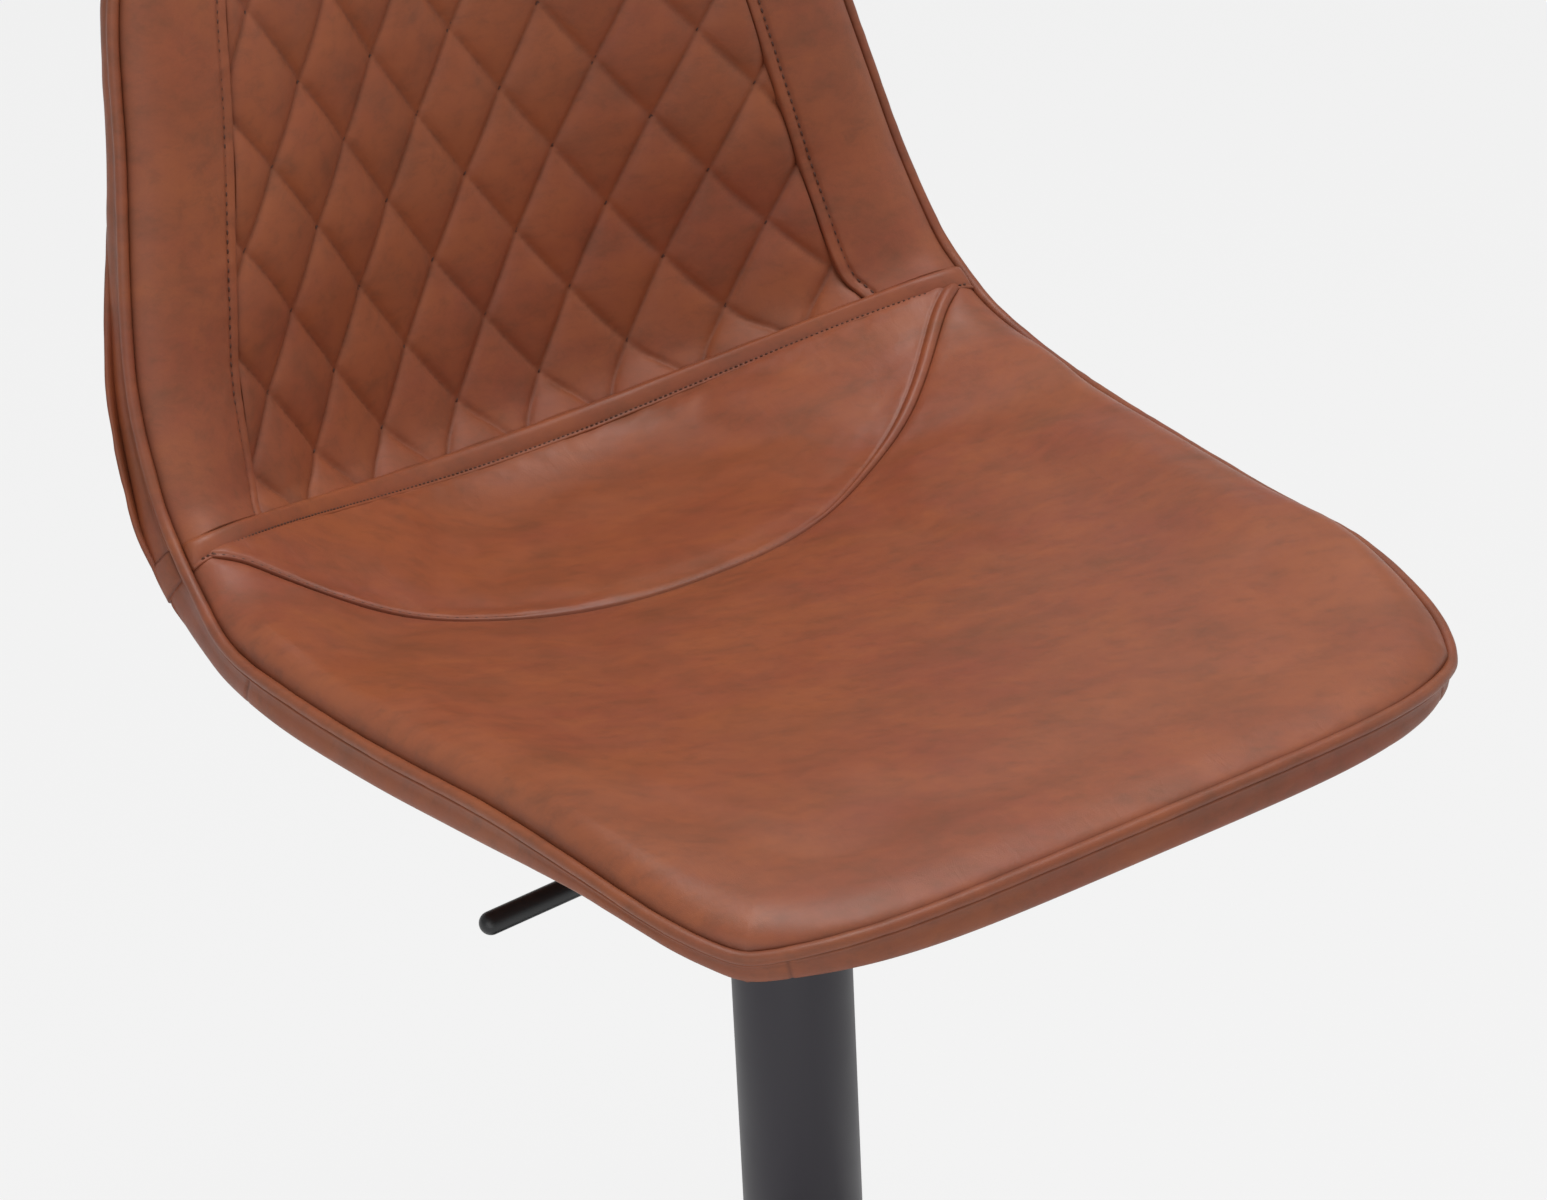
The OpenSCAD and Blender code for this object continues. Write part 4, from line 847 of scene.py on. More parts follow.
def make_hip_cushion():
    """The crescent panel between the seat and the strap, with the stitched rib along its lower seam."""
    form, sizes = seat_form(), bpy.context.scene.stool_sizes
    end = CRESCENT_END + 0.012
    s, b = np.meshgrid(np.linspace(-end, end, 281), closer_ends(121, 0.5), indexing="ij")
    first = form.crescent(s)
    t = first + (form.strap_low_row + 0.05 - first) * b
    points = form.point(s, t)
    edge = distance_to(points, form.edge)
    seam = distance_to(points, form.crescent_seam(end))
    strap = distance_to(points, form.seam_line(np.linspace(-end, end, 900), form.strap_low_row))
    side = roll(edge - HIP_INSET, SEAT_ROLL)
    height = crowned(sizes.leather + sizes.seat_crown, side)
    # The rib along the seam, with a groove on both sides where it is raised
    rib, raised = rib_width(s), rib_raised(s)
    dips = 0.0014 * (1 - roll(seam, 0.0008 + 0.35 * rib)) + 0.0008 * ridge(seam, rib, 0.0010)
    dips -= 0.0012 * ridge(seam, rib * 0.5, rib * 0.4) * raised
    height -= dips * smooth_step(edge, 0.0, 0.012)
    height += 0.0012 * (1 - smooth_step(seam, rib, rib + 0.012)) * (1 - raised)
    # Drawn in under the strap
    height -= 0.0022 * (1 - roll(strap, 0.007))
    held = (edge < 0.006) | (seam < rib + 0.001) | (strap < 0.003)
    height += puffed(form, s, t, height, held, 3.0, 0.004)
    height += 0.0009 * soft_noise(points, 0.045, 5) * side * smooth_step(seam, 0.006, 0.03)
    height += puckers(points, seam - rib, 0.012, 0.007, 6) * smooth_step(seam, rib, rib + 0.004)
    height += puckers(points, strap, 0.010, 0.006, 7)
    # Painted shade in the crescent seam, beside the rib, under the strap and along the piping
    crease_shade = np.max([0.25 * ridge(seam, 0, 0.0008), 0.25 * ridge(seam, rib, 0.0008),
                     0.3 * ridge(strap, 0, 0.0010), 0.5 * ridge(edge, HIP_INSET, 0.0012)], axis=0)
    piece = add_pad("hip_cushion", form.place(s, t, height), pad_floor(s, t), material("leather"), crease_shade)
    seat_piece(piece, "leather", "hip_panel")
    make_crescent_stitches(form, sizes)


def make_crescent_stitches(form, sizes):
    """Stitches along the upper side of the rib."""
    s = np.linspace(-CRESCENT_END + 0.01, CRESCENT_END - 0.01, 1200)
    t = form.crescent(s)
    t = t + rib_width(s) / form.row_step(s, t, 0.05)
    side = roll(distance_to(form.point(s, t), form.edge) - HIP_INSET, SEAT_ROLL)
    height = crowned(sizes.leather + sizes.seat_crown, side) - 0.0014
    height += 0.0012 * (1 - rib_raised(s))
    add_stitches("crescent_stitches", [(form.place(s, t, height), form.normal(s, t))])


# Across the strap from its top edge down: place, height above the back's padding, and painted crease shade
STRAP_PROFILE = (
    (-0.0012, -0.0050, 0.7), (-0.0014, -0.0010, 0.3), (-0.0006, 0.0014, 0), (0.0008, 0.0030, 0),
    (0.0024, 0.0036, 0), (0.0045, 0.0033, 0), (0.0070, 0.0025, 0), (0.0092, 0.0016, 0),
    (0.0106, 0.0008, 0.1), (0.0113, 0.0003, 0.2), (0.0120, 0.0006, 0.1), (0.0128, 0.0008, 0),
    (0.0134, 0.0000, 0.1), (0.0136, -0.0040, 0.4))
# The width that the profile is drawn for, and where its stitches lie
STRAP_DRAWN = 0.013
STRAP_STITCHES = 0.0113


def make_strap():
    """The strap across the hip: a rounded ridge at its top and a stitched lower edge."""
    form, sizes = seat_form(), bpy.context.scene.stool_sizes
    places, heights, crease_shade = np.transpose(STRAP_PROFILE)
    end = 1 - (sizes.piping / 2 - 0.0005) / form.half_width
    s = np.linspace(-end, end, 420)
    # How many rows one metre down the strap takes, which differs along it
    down = np.linalg.norm(form.point(s, STRAP_ROW) - form.point(s, form.strap_low_row), axis=-1)
    rows_per_metre = sizes.strap / STRAP_DRAWN / down * (STRAP_ROW - form.strap_low_row)
    t = STRAP_ROW - places * rows_per_metre[:, None]
    side = roll((1 - np.abs(s)) * form.half_width - 0.002, 0.034)[:, None]
    base = sizes.leather + (sizes.seat_crown - 0.001) * side
    wave = 0.0004 * soft_noise(form.point(s[:, None], t), 0.02, 8)
    top = form.place(np.broadcast_to(s[:, None], t.shape), t, base + heights + wave)
    piece = add_sweep("strap", top, material("leather"), False, np.broadcast_to(crease_shade, t.shape))
    seat_piece(piece, "leather", "strap")
    keep = np.abs(s) < 0.975
    s, t, base = s[keep], (STRAP_ROW - STRAP_STITCHES * rows_per_metre)[keep], base[keep, 0]
    add_stitches("strap_stitches", [(form.place(s, t, base + 0.0003), form.normal(s, t))], 0, 0.6)


# Points along half a diamond each way, and how far apart the gathered columns beside a bolster lie
QUILT_POINTS = 22
GATHERED = 0.00005


def quilt_lines(i, j):
    """Distances to the two sets of quilting lines, from 0 on a line to 1 half way between two."""
    return 1 - np.abs((i + j) % 2 - 1), 1 - np.abs((i - j) % 2 - 1)


def climb_table(form):
    """Length up the middle of the back from the strap, against the row."""
    t = np.linspace(STRAP_ROW, TOP_ROW, 800)
    return t, arc_lengths(form.point(0, t))


def quilt_level(form, s, t):
    """Height of the quilting's stitched lines above the form."""
    top = distance_to(form.point(s, t), form.seam_line(np.linspace(-1, 1, 400), TOP_ROW))
    sizes = form.sizes
    return sizes.leather + (sizes.back_crown - 0.0025) * roll(top, 0.034) - 0.0022 * (1 - roll(top, 0.006))


def make_quilted_back():
    """The back panel, quilted in diamonds that keep their size up the back."""
    form, sizes = seat_form(), bpy.context.scene.stool_sizes
    table_t, table_up = climb_table(form)
    up = np.arange(0, table_up[-1] - 0.0015, sizes.quilt_height / QUILT_POINTS)
    t = np.interp(up, table_up, table_t)
    # Columns of one width, gathered along the seam where they would run into the bolster
    step = sizes.quilt_width / QUILT_POINTS
    half = form.bolster(t) * form.row(t)[:, 2]
    count = int(np.ceil(half.max() / step))
    k = np.arange(-count, count + 1)[:, None]
    across = np.sign(k) * np.minimum(np.abs(k) * step, half - (count - np.abs(k)) * GATHERED)
    s = across / form.row(t)[:, 2]
    t = np.broadcast_to(t, s.shape)
    points = form.point(s, t)
    seam = np.minimum(*[distance_to(points, form.bolster_seam(side)) for side in (-1, 1)])
    # The diamonds' pillows, pulled in at every stitch
    rising, falling = quilt_lines(across / sizes.quilt_width,
                                  (up - sizes.quilt_start) / sizes.quilt_height + 1)
    near = np.minimum(rising, falling)
    notch = 0.5 + 0.5 * np.cos(2 * np.pi * up / sizes.quilt_height * 9)
    height = quilt_level(form, s, t)
    height += sizes.quilt_puff * roll(falling, 1.1) ** 0.8 * roll(rising, 1.0) ** 0.7
    height -= 0.0004 * notch * (ridge(rising, 0.05, 0.05) + ridge(falling, 0.05, 0.05))
    height -= 0.0014 * (1 - roll(seam, 0.007))
    held = (near < 0.06) | (seam < 0.002)
    height += puffed(form, s, t, height, held, 5.0, 0.0015)
    # Soft unevenness on the pillows, and fine folds beside the stitching
    pillow = roll(rising, 1.1) * roll(falling, 1.1)
    height += 0.0005 * soft_noise(points, 0.03, 11) * pillow
    height += 0.0004 * soft_noise(points, 0.006, 12) * (1 - pillow) * near ** 0.5
    # Painted shade along the quilting lines, deeper on the falling ones, and at the bolster seams
    crease_shade = np.max([0.35 * ridge(falling, 0, 0.04), 0.15 * ridge(rising, 0, 0.03),
                     0.2 * ridge(seam, 0, 0.0012)], axis=0)
    piece = add_pad("quilted_back", form.place(s, t, height), pad_floor(s, t),
                    material("quilt_leather_painted_shade"), crease_shade)
    seat_piece(piece, "leather", "quilted_panel")
    make_quilt_stitches(form, sizes, table_t, table_up)


def make_quilt_stitches(form, sizes, table_t, table_up):
    """Stitches along every quilting line."""
    top_j = (table_up[-1] - sizes.quilt_start) / sizes.quilt_height + 1
    low_j = -sizes.quilt_start / sizes.quilt_height + 1
    reach = int(np.ceil(form.half_width / sizes.quilt_width + top_j)) + 2
    j = np.linspace(low_j + 0.04, top_j - 0.12, 700)
    rows = np.interp((j - 1) * sizes.quilt_height + sizes.quilt_start, table_up, table_t)
    for name, slope, sink in (("rising", 1, 0.0), ("falling", -1, 0.0004)):
        seams = []
        for k in range(-reach, reach + 1):
            s = (2 * k + slope * j) * sizes.quilt_width / form.row(rows)[:, 2]
            keep = np.abs(s) < form.bolster(rows) - 0.018
            if keep.sum() < 12:
                continue
            s, t = s[keep], rows[keep]
            seams.append((form.place(s, t, quilt_level(form, s, t)), form.normal(s, t)))
        add_stitches("quilt_stitches_" + name, seams, sink)


def make_bolsters():
    """The two plain bolsters of the back, each folded over its seam beside the quilting."""
    form, sizes = seat_form(), bpy.context.scene.stool_sizes
    inset = sizes.piping / 2 - PIPING_TUCK
    rise = sizes.leather + sizes.back_crown + BOLSTER_RISE
    for name, side in (("left", -1), ("right", 1)):
        u, t = np.meshgrid(closer_ends(61, 0.4)[::side], np.linspace(STRAP_ROW + 0.01, TOP_ROW, 261),
                           indexing="ij")
        start = form.bolster(t) + 0.0003
        end = 1 - inset / form.row(t)[..., 2]
        s = side * (start + (end - start) * u)
        t = form.moved_in(s, t, inset)
        points = form.point(s, t)
        edge = distance_to(points, form.edge)
        seam = distance_to(points, form.bolster_seam(side))
        rolled = roll(edge - inset, BOLSTER_ROLL)
        height = crowned(rise, rolled)
        # Drawn down at the seam and a little at the stitches, and raised beyond them
        height -= 0.0045 * (1 - roll(seam, 0.0022)) * smooth_step(edge, 0.0, 0.01)
        height -= 0.0009 * ridge(seam, BOLSTER_STITCHES, 0.0011) * smooth_step(edge, 0.0, 0.01)
        height += 0.0012 * roll(seam - BOLSTER_STITCHES, 0.02) * rolled
        height += 0.0008 * soft_noise(points, 0.05, 14) * rolled
        height += puckers(points, np.abs(seam - BOLSTER_STITCHES), 0.008, 0.007, 15) * rolled
        # Painted shade in the seam, at the stitches and along the piping
        crease_shade = np.max([0.3 * ridge(seam, 0, 0.0009), 0.2 * ridge(seam, BOLSTER_STITCHES, 0.0008),
                         0.5 * ridge(edge, inset, 0.0012)], axis=0)
        piece = add_pad("bolster_pad_" + name, form.place(s, t, height), pad_floor(s, t),
                        material("quilt_leather_painted_shade"), crease_shade)
        seat_piece(piece, "leather", "bolster_" + name)
        # Its line of stitches
        t = np.linspace(STRAP_ROW + 0.1, TOP_ROW - 0.08, 900)
        s = side * (form.bolster(t) + BOLSTER_STITCHES / form.row(t)[:, 2] * 0.92)
        rolled = roll(distance_to(form.point(s, t), form.edge) - inset, BOLSTER_ROLL)
        line = form.place(s, t, crowned(rise, rolled) - 0.0009)
        add_stitches("bolster_stitches_" + name, [(line, form.normal(s, t))])


def make_piping():
    """The piping round the whole edge, with its small puckers."""
    edge = seat_edge()
    angle = np.linspace(0, 2 * np.pi, 18, endpoint=False)
    radius = bpy.context.scene.stool_sizes.piping / 2 * (1 + 0.05 * soft_noise(edge.points, 0.007, 21))
    rings = np.stack([edge.offset(radius * math.cos(a), radius * math.sin(a)) for a in angle], 1)
    # Painted shade on the piping's inner and lower side, towards the cushion
    inner = 0.3 * np.maximum(0, -np.cos(angle)) ** 4 + 0.3 * np.maximum(0, -np.sin(angle)) ** 3
    piece = add_sweep("edge_piping", rings, material("edge_leather"), True,
                      np.broadcast_to(inner, rings.shape[:2]))
    seat_piece(piece, "piping_leather", "piping")


# Round the band from inside its upper fold: distance outwards, height, and band depths added to it
BAND_PROFILE = (
    (-0.0020, -0.0020, 0), (-0.0003, -0.0024, 0), (0.0006, -0.0030, 0), (0.0012, -0.0036, 0),
    (0.0011, -0.0043, 0), (0.0005, -0.0050, 0), (0.0009, -0.0010, -0.45), (0.0012, 0, -0.62),
    (0.0012, 0, -0.78), (0.0009, 0, -0.90), (0.0002, 0, -0.99), (-0.0010, 0, -1.05), (-0.0030, 0, -1.08),
    (-0.0060, 0, -1.05), (-0.0066, 0, -0.8), (-0.0044, 0, -0.6), (-0.0030, -0.0030, 0))
# Painted crease shade of the profile's first points, under the piping's fold
BAND_CREASE_SHADES = (0.8, 0.6, 0.1, 0, 0.05, 0.15)
# The same round a tab of the strap
TAB_PROFILE = (
    (-0.0010, -0.0026, 0), (0.0008, -0.0034, 0), (0.0019, -0.0048, 0), (0.0024, 0, -0.45),
    (0.0025, 0, -0.72), (0.0022, 0, -0.88), (0.0014, 0, -1.0), (-0.0003, 0, -1.08),
    (-0.0030, 0, -1.13), (-0.0062, 0, -1.12), (-0.0066, 0, -0.95), (-0.0020, 0, -0.6))
# Where the band is pieced together: across and along the rows
BAND_JOINTS = ((-1, 5.6), (1, 5.6), (-0.93, 0.0), (0.93, 0.0))
# Half the gap in the band under a tab, and half a tab's width, in points of the edge
BAND_GAP = 4
TAB_REACH = 5


def tab_middle(side):
    """Index of the edge's point at the strap's end on a side."""
    return seat_edge().nearest(seat_form().point(side, STRAP_ROW - 0.25))


def make_boxing():
    """The band under the piping, in a front and a back length, with its folded upper edge."""
    form, edge = seat_form(), seat_edge()
    count = len(edge.points)
    joint = np.zeros(count)
    for s, t in BAND_JOINTS:
        joint[edge.nearest(form.point(s, t))] = 1
    rings = []
    for out, low, share in BAND_PROFILE:
        up = low + share * edge.depth
        outer = out > -0.001
        wave = 0.0003 * soft_noise(edge.points, 0.012, 31) * (up < -0.006) * outer
        drawn = 0.0006 * joint * (up < -0.004) * outer
        rings.append(edge.offset(out + wave - drawn, up))
    rings = np.stack(rings, 1)
    # Painted shade under the piping's fold; the band's joints are darker too, a real seam line with painted
    # shade in it
    crease_shade = np.zeros(rings.shape[:2])
    crease_shade[:, :len(BAND_CREASE_SHADES)] = BAND_CREASE_SHADES
    crease_shade = np.maximum(crease_shade, 0.5 * joint[:, None])
    left, right = tab_middle(-1), tab_middle(1)
    for name, node, first, last in (
            ("seat_band", "seat_boxing", left + BAND_GAP, right - BAND_GAP + count),
            ("back_band", "back_boxing", right + BAND_GAP, left - BAND_GAP)):
        index = np.arange(first, last) % count
        piece = add_sweep(name, rings[index], material("edge_leather"), False, crease_shade[index])
        seat_piece(piece, "leather", node)


def make_strap_tabs():
    """The strap's ends, folded down over the band on both sides."""
    edge = seat_edge()
    reach = np.arange(-TAB_REACH, TAB_REACH + 1)
    swell = np.sqrt(np.maximum(0, 1 - (reach / (TAB_REACH + 0.6)) ** 4))[:, None]
    for name, side in (("left", -1), ("right", 1)):
        index = (tab_middle(side) + reach) % len(edge.points)
        points, outwards, up, depth = (values[index] for values in (
            edge.points, edge.out, edge.up, edge.depth[:, None]))
        rings = np.stack([points + ((out - 0.001) * swell + 0.001) * outwards + (low + share * depth) * up
                          for out, low, share in TAB_PROFILE], 1)
        # Painted shade at the tab's ends and under its upper fold
        crease_shade = np.zeros(rings.shape[:2])
        crease_shade[[0, -1]] = 0.5
        crease_shade[:, :2] = 0.6
        piece = add_sweep("strap_tab_" + name, rings, material("edge_leather"), False, crease_shade)
        seat_piece(piece, "leather", "strap_tabs")


# Where the cover under the seat meets the one behind the back, and about how long a row is there
SPLIT_ROW = STRAP_ROW - 0.5
SPLIT_ROW_LENGTH = 0.045
# How far the covers lie inside the edge, above the band's hem, how far the foam does, and the shell's depth
COVER_INSET = 0.0012
FOAM_INSET = 0.0051
SHELL_THICKNESS = 0.006


def core_grid(form, first, last, columns, rows, inset):
    """Places of an inner layer, moved in from the edge."""
    a, t = np.meshgrid(np.linspace(-1, 1, columns), np.linspace(first, last, rows), indexing="ij")
    s = a * (1 - inset / form.half_width)
    return s, form.moved_in(s, t, inset)


def make_covers():
    """The plain leather under the seat and behind the back, drawn tight over the shell."""
    form, sizes = seat_form(SHELL_END), bpy.context.scene.stool_sizes
    for name, node, first, last in (("under_leather", "under_cover", 0, SPLIT_ROW),
                                    ("back_leather", "back_cover", SPLIT_ROW + 0.02, TOP_ROW)):
        s, t = core_grid(form, first, last, 161, 150, COVER_INSET)
        points = form.point(s, t)
        edge = distance_to(points, form.edge)
        seam = np.abs(t - SPLIT_ROW) * SPLIT_ROW_LENGTH
        lift = 0.0003 * soft_noise(points, 0.06, 41) + 0.0012 * (1 - roll(seam, 0.004))
        lift += puckers(points, edge - COVER_INSET, 0.02, 0.012, 42, COVER_PUCKER)
        # Flat where the seat plate lies against it
        low = form.under(s, t, 0.0)[..., 2]
        lift = np.maximum(lift, 0) * smooth_step(low, form.under_z, form.under_z + 0.012)
        # The last argument is painted shade along the seam between the two covers
        piece = add_pad(name, form.under(s, t, sizes.leather - 0.0004), form.under(s, t, lift),
                        material("edge_leather"), 0.4 * ridge(seam, 0, 0.0012))
        seat_piece(piece, "leather", node)


def make_core():
    """The foam of the seat and of the back, and the finishes of the shell and its fittings."""
    form, sizes = seat_form(SHELL_END), bpy.context.scene.stool_sizes
    for name, node, first, last in (("seat_padding", "seat_foam", 0, SPLIT_ROW - 0.01),
                                    ("back_padding", "back_foam", SPLIT_ROW + 0.01, TOP_ROW)):
        s, t = core_grid(form, first, last, 61, 61, FOAM_INSET)
        low = form.under(s, t, sizes.leather + SHELL_THICKNESS + 0.0004)
        edge = distance_to(form.point(s, t), form.edge)
        top = form.place(s, t, -0.0015 - 0.002 * (1 - roll(edge - 0.005, 0.012)))
        piece = add_pad(name, top, low, material("foam"))
        seat_piece(piece, "foam", node)
    dress("plywood", "seat_shell")
    dress("zinc_steel", "tee_nuts", "seat_screws")


# Hard pieces

def dress(key, *nodes):
    """Gives CAD nodes their finish, with smooth round faces and crisp edges."""
    for name in nodes:
        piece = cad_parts[name]
        piece.data.materials.clear()
        piece.data.materials.append(material(key))
        weld = piece.modifiers.new("Weld", "WELD")
        weld.merge_threshold = 0.00001
        bevel = piece.modifiers.new("Bevel", "BEVEL")
        bevel.width = 0.0004
        bevel.segments = 2
        bevel.limit_method = "ANGLE"
        bevel.angle_limit = math.radians(35)
        piece.data.polygons.foreach_set("use_smooth", [True] * len(piece.data.polygons))


def make_column():
    """Finishes of the column, its cover, the gas spring, the bearing and the lever."""
    dress("paint", "column_tube", "cover_tube", "lever_box", "seat_plate", "taper_socket", "pressure_tube",
          "lever_rod")
    dress("plastic", "lever_sleeve", "cover_ring", "cover_cap", "base_collar")
    dress("ground_steel", "piston_rod", "lower_race", "upper_race", "bearing_balls")
    dress("zinc_steel", "rod_clip", "pivot_pin")
    dress("aluminium", "piston", "rod_guide", "valve_body", "valve_pin")
    dress("rubber", "bump_stop", "piston_seal", "rod_seal", "valve_seal")
    dress("bearing", "guide_bushing", "bearing_cage")


def make_base():
    """Finishes of the base, its pad and the footrest."""
    dress("paint", "base_cover", "column_foot", "footrest_loop", "footrest_sleeve")
    dress("zinc_steel", "foot_bolts", "footrest_screws")
    dress("rubber", "floor_pad")
    dress("iron", "ballast_plate")


# Stage

# The photograph's camera: its heading, its angle above the horizon and its tilt, in degrees
CAMERA_HEADING = -32.82
CAMERA_RISE = 30.90
CAMERA_TILT = -2.73
CAMERA_PLACE = (-1.2055, -1.8684, 1.9947)
# Its focal length in pixels, the photograph's width in pixels, and the width of its sensor
FOCAL_PIXELS = 5500
PHOTO_PIXELS = 1547
SENSOR = 36
# Strength of the world's light, how pale the world and the floor look, and the share of that in the floor
WORLD_LIGHT = 0.46
WORLD_GLOW = 0.850
FLOOR_GLOW = 0.930
FLOOR_SHARE = 0.85
# Half the floor's width, and how far it lies below the stool
FLOOR_REACH = 30
FLOOR_DROP = 0.0004


def placed(right, up, back, place):
    """The matrix that puts something at a place, with its own axes to the right, up and back."""
    matrix = np.eye(4)
    matrix[:3] = np.transpose([right, up, back, place])
    return Matrix(matrix.tolist())


def make_camera():
    """The camera at the photograph's place, looking down on the seat from the sitter's front right."""
    data = bpy.data.cameras.new("photo_camera")
    data.sensor_fit = "HORIZONTAL"
    data.sensor_width = SENSOR
    data.lens = FOCAL_PIXELS / PHOTO_PIXELS * SENSOR
    data.clip_end = 100
    camera = bpy.data.objects.new("photo_camera", data)
    bpy.context.scene.collection.objects.link(camera)
    a, e, tilt = (math.radians(x) for x in (CAMERA_HEADING, CAMERA_RISE, CAMERA_TILT))
    back = np.array([math.sin(a) * math.cos(e), -math.cos(a) * math.cos(e), math.sin(e)])
    right = np.array([math.cos(a), math.sin(a), 0])
    up = np.cross(back, right)
    camera.matrix_world = placed(math.cos(tilt) * right + math.sin(tilt) * up,
                                 math.cos(tilt) * up - math.sin(tilt) * right, back, CAMERA_PLACE)
    bpy.context.scene.camera = camera


def make_floor():
    """A pale floor that shows near white, keeps the stool's soft shadow and is clear from below."""
    make = Shader("pale_floor")
    path = make.node("ShaderNodeLightPath")
    seen = make.math("MAXIMUM", path.outputs["Is Camera Ray"], path.outputs["Is Glossy Ray"])
    seen = make.math("MAXIMUM", seen, path.outputs["Is Transmission Ray"])
    grain = make.spread(make.noise(3, 3, 0.5), 0.3, 0.7, 0, 0.02)
    shown = make.mix(grain, bpy.context.scene.stool_colours.floor, (0.5, 0.5, 0.5, 1))
    make.finish(Base_Color=shown, Roughness=0.9, Specular_IOR_Level=0.0)
    glow = make.node("ShaderNodeEmission", {"Color": (*[FLOOR_GLOW] * 3, 1), "Strength": 1.0})
    above = make.node("ShaderNodeMixShader", {
        0: make.math("MULTIPLY", seen, FLOOR_SHARE), 1: make.shader.outputs[0], 2: glow.outputs[0]})
    clear = make.node("ShaderNodeMixShader", {
        0: make.node("ShaderNodeNewGeometry").outputs["Backfacing"], 1: above.outputs[0],
        2: make.node("ShaderNodeBsdfTransparent").outputs[0]})
    make.fill(make.tree.nodes["Material Output"].inputs["Surface"], clear.outputs[0])
    corners = [(x * FLOOR_REACH, y * FLOOR_REACH, -FLOOR_DROP)
               for x, y in ((-1, -1), (1, -1), (1, 1), (-1, 1))]
    add_mesh("floor", corners, [(0, 1, 2, 3)], make.material, smooth=False)


def make_world():
    """Even white light from all round, which the camera sees as a paler grey than it gives."""
    world = bpy.data.worlds.new("studio")
    world.use_nodes = True
    nodes, links = world.node_tree.nodes, world.node_tree.links
    background = nodes["Background"]
    path = nodes.new("ShaderNodeLightPath")
    seen = nodes.new("ShaderNodeMath")
    seen.operation = "MAXIMUM"
    links.new(path.outputs["Is Camera Ray"], seen.inputs[0])
    links.new(path.outputs["Is Transmission Ray"], seen.inputs[1])
    strength = nodes.new("ShaderNodeMapRange")
    strength.inputs["To Min"].default_value = WORLD_LIGHT
    strength.inputs["To Max"].default_value = WORLD_GLOW
    links.new(seen.outputs[0], strength.inputs["Value"])
    links.new(strength.outputs["Result"], background.inputs["Strength"])
    background.inputs["Color"].default_value = (1, 1, 1, 1)
    bpy.context.scene.world = world


# Each soft box: its name, place, the point it faces, size and power in watts
SOFT_BOXES = (
    ("key_light", (-2.4, -1.4, 1.5), (0, 0, 0.7), 1.8, 14),
    ("top_light", (0.4, 0.1, 3.2), (0, 0, 0.75), 1.2, 43),
    ("fill_light", (2.4, -1.6, 1.8), (0, 0, 0.7), 1.6, 6),
    ("low_light", (-1.5, -2.1, 0.35), (0, 0, 0.6), 1.6, 9),
)


def make_lights():
    """Large soft boxes from the left, from above, from the right and from low down in front."""
    for name, place, target, size, power in SOFT_BOXES:
        data = bpy.data.lights.new(name, "AREA")
        data.shape = "SQUARE"
        data.size = size
        data.energy = power
        lamp = bpy.data.objects.new(name, data)
        bpy.context.scene.collection.objects.link(lamp)
        back = unit(np.subtract(place, target))
        right = unit(np.cross((0, 0, 1), back))
        lamp.matrix_world = placed(right, np.cross(back, right), back, place)


# Operators and panel

class StoolOperator:
    """What every step of the stool has in common."""

    bl_options = {"REGISTER", "UNDO"}

    def execute(self, context):
        for step in self.steps:
            step()
        return {"FINISHED"}


class STOOL_OT_seat_cushion(StoolOperator, bpy.types.Operator):
    """Makes the plain seat panel"""

    bl_idname = "stool.seat_cushion"
    bl_label = "Seat cushion"
    steps = (make_seat_cushion,)


class STOOL_OT_hip_cushion(StoolOperator, bpy.types.Operator):
    """Makes the crescent panel across the hip, with its stitched rib"""

    bl_idname = "stool.hip_cushion"
    bl_label = "Hip cushion"
    steps = (make_hip_cushion,)


class STOOL_OT_strap(StoolOperator, bpy.types.Operator):
    """Makes the strap across the hip and its tabs on the band"""

    bl_idname = "stool.strap"
    bl_label = "Strap"
    steps = (make_strap, make_strap_tabs)


class STOOL_OT_quilted_back(StoolOperator, bpy.types.Operator):
    """Makes the quilted back panel and its stitching"""

    bl_idname = "stool.quilted_back"
    bl_label = "Quilted back"
    steps = (make_quilted_back,)


class STOOL_OT_bolsters(StoolOperator, bpy.types.Operator):
    """Makes the two side bolsters of the back"""

    bl_idname = "stool.bolsters"
    bl_label = "Bolsters"
    steps = (make_bolsters,)


class STOOL_OT_edge(StoolOperator, bpy.types.Operator):
    """Makes the piping and the band under it"""

    bl_idname = "stool.edge"
    bl_label = "Piping and band"
    steps = (make_piping, make_boxing)


class STOOL_OT_covers(StoolOperator, bpy.types.Operator):
    """Makes the leather under the seat and behind the back"""

    bl_idname = "stool.covers"
    bl_label = "Under and back leather"
    steps = (make_covers,)


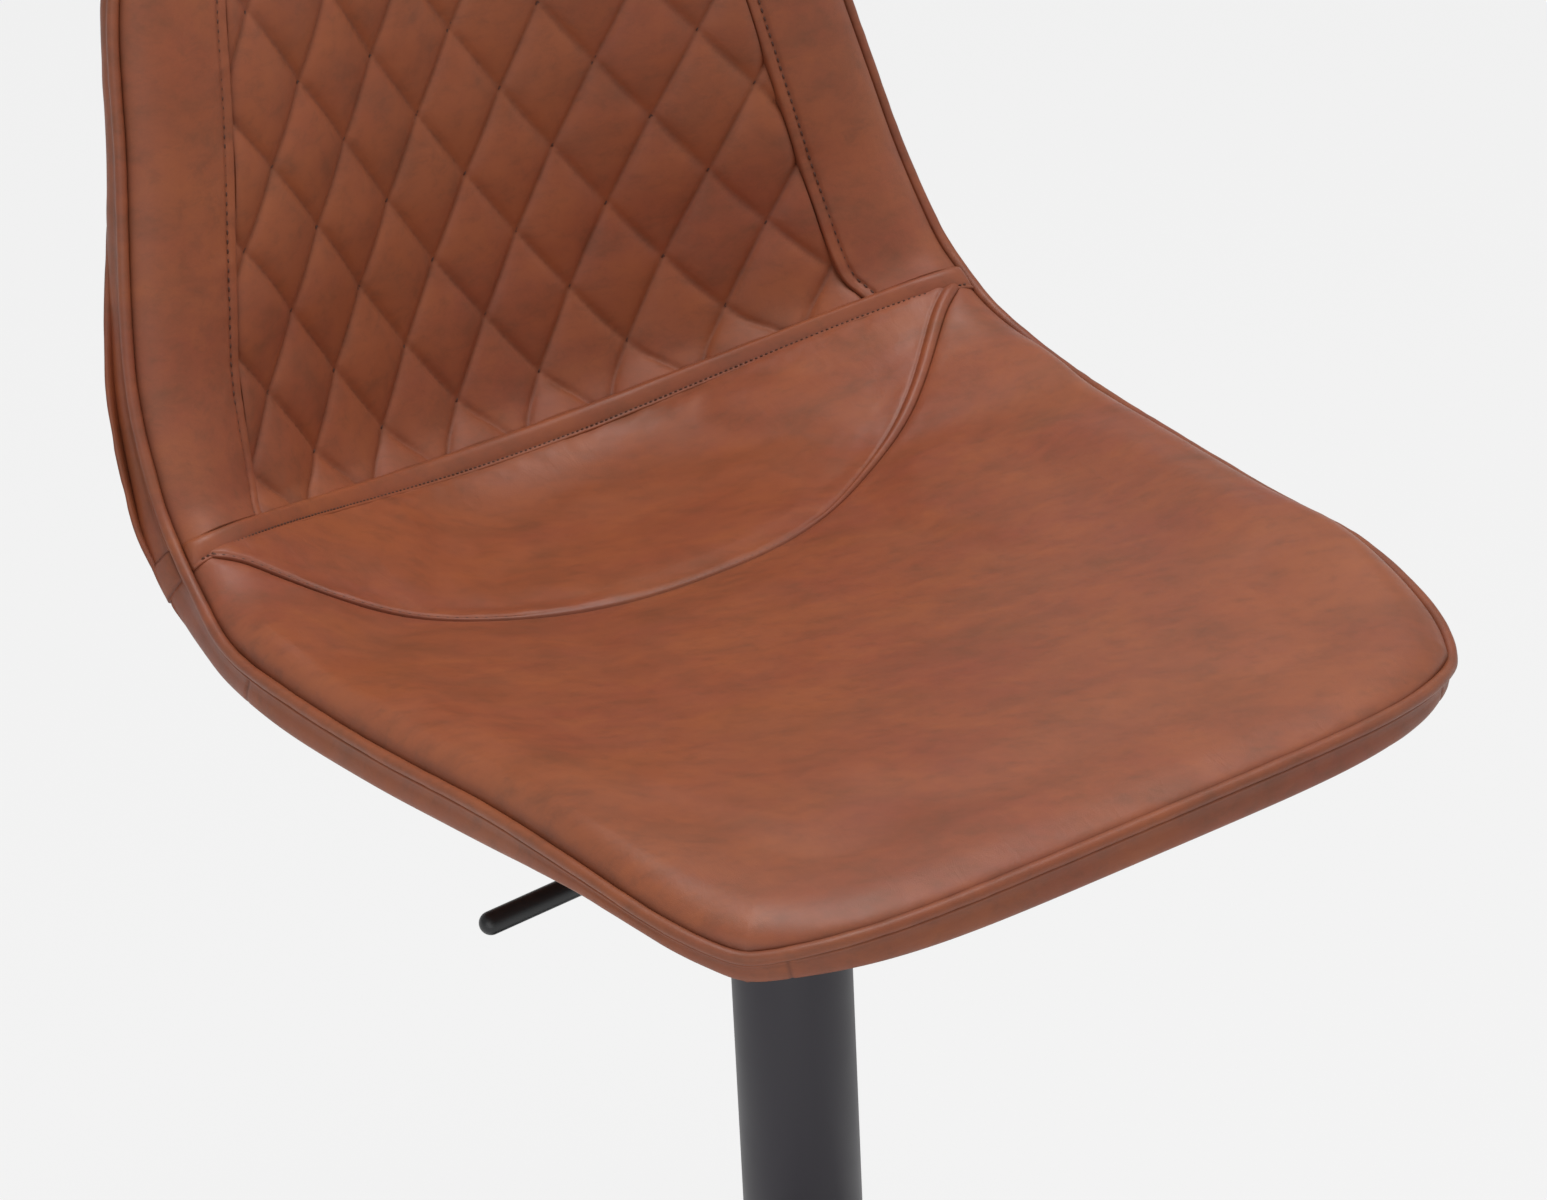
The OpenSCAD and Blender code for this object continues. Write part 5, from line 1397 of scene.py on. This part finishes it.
class STOOL_OT_core(StoolOperator, bpy.types.Operator):
    """Makes the foam and dresses the shell and its fittings"""

    bl_idname = "stool.core"
    bl_label = "Foam and shell"
    steps = (make_core,)


class STOOL_OT_column(StoolOperator, bpy.types.Operator):
    """Dresses the column, the gas spring, the bearing and the lever"""

    bl_idname = "stool.column"
    bl_label = "Column and lever"
    steps = (make_column,)


class STOOL_OT_base(StoolOperator, bpy.types.Operator):
    """Dresses the base and the footrest"""

    bl_idname = "stool.base"
    bl_label = "Base and footrest"
    steps = (make_base,)


class STOOL_OT_stage(StoolOperator, bpy.types.Operator):
    """Makes the floor, the lights and the photograph's camera"""

    bl_idname = "stool.stage"
    bl_label = "Stage"
    steps = (make_floor, make_world, make_lights, make_camera)


OPERATORS = (STOOL_OT_stage, STOOL_OT_seat_cushion, STOOL_OT_hip_cushion, STOOL_OT_strap,
             STOOL_OT_quilted_back, STOOL_OT_bolsters, STOOL_OT_edge, STOOL_OT_covers, STOOL_OT_core,
             STOOL_OT_column, STOOL_OT_base)


class STOOL_PT_pieces(bpy.types.Panel):
    """Sizes, colours and steps of the stool"""

    bl_idname = "STOOL_PT_pieces"
    bl_label = "Counter stool"
    bl_space_type = "VIEW_3D"
    bl_region_type = "UI"
    bl_category = "Stool"

    def draw(self, context):
        layout = self.layout
        for step in OPERATORS:
            layout.operator(step.bl_idname)
        for group in (context.scene.stool_sizes, context.scene.stool_colours):
            for name in group.__annotations__:
                layout.prop(group, name)


CLASSES = (StoolSizes, StoolColours, *OPERATORS, STOOL_PT_pieces)


def register():
    for made in CLASSES:
        bpy.utils.register_class(made)
    bpy.types.Scene.stool_sizes = PointerProperty(type=StoolSizes)
    bpy.types.Scene.stool_colours = PointerProperty(type=StoolColours)


def unregister():
    del bpy.types.Scene.stool_colours
    del bpy.types.Scene.stool_sizes
    for made in reversed(CLASSES):
        bpy.utils.unregister_class(made)


def main():
    """Makes every piece and the stage."""
    register()
    bpy.context.scene.view_settings.view_transform = "Standard"
    for step in OPERATORS:
        group, name = step.bl_idname.split(".")
        getattr(getattr(bpy.ops, group), name)()


if __name__ == "__main__":
    main()
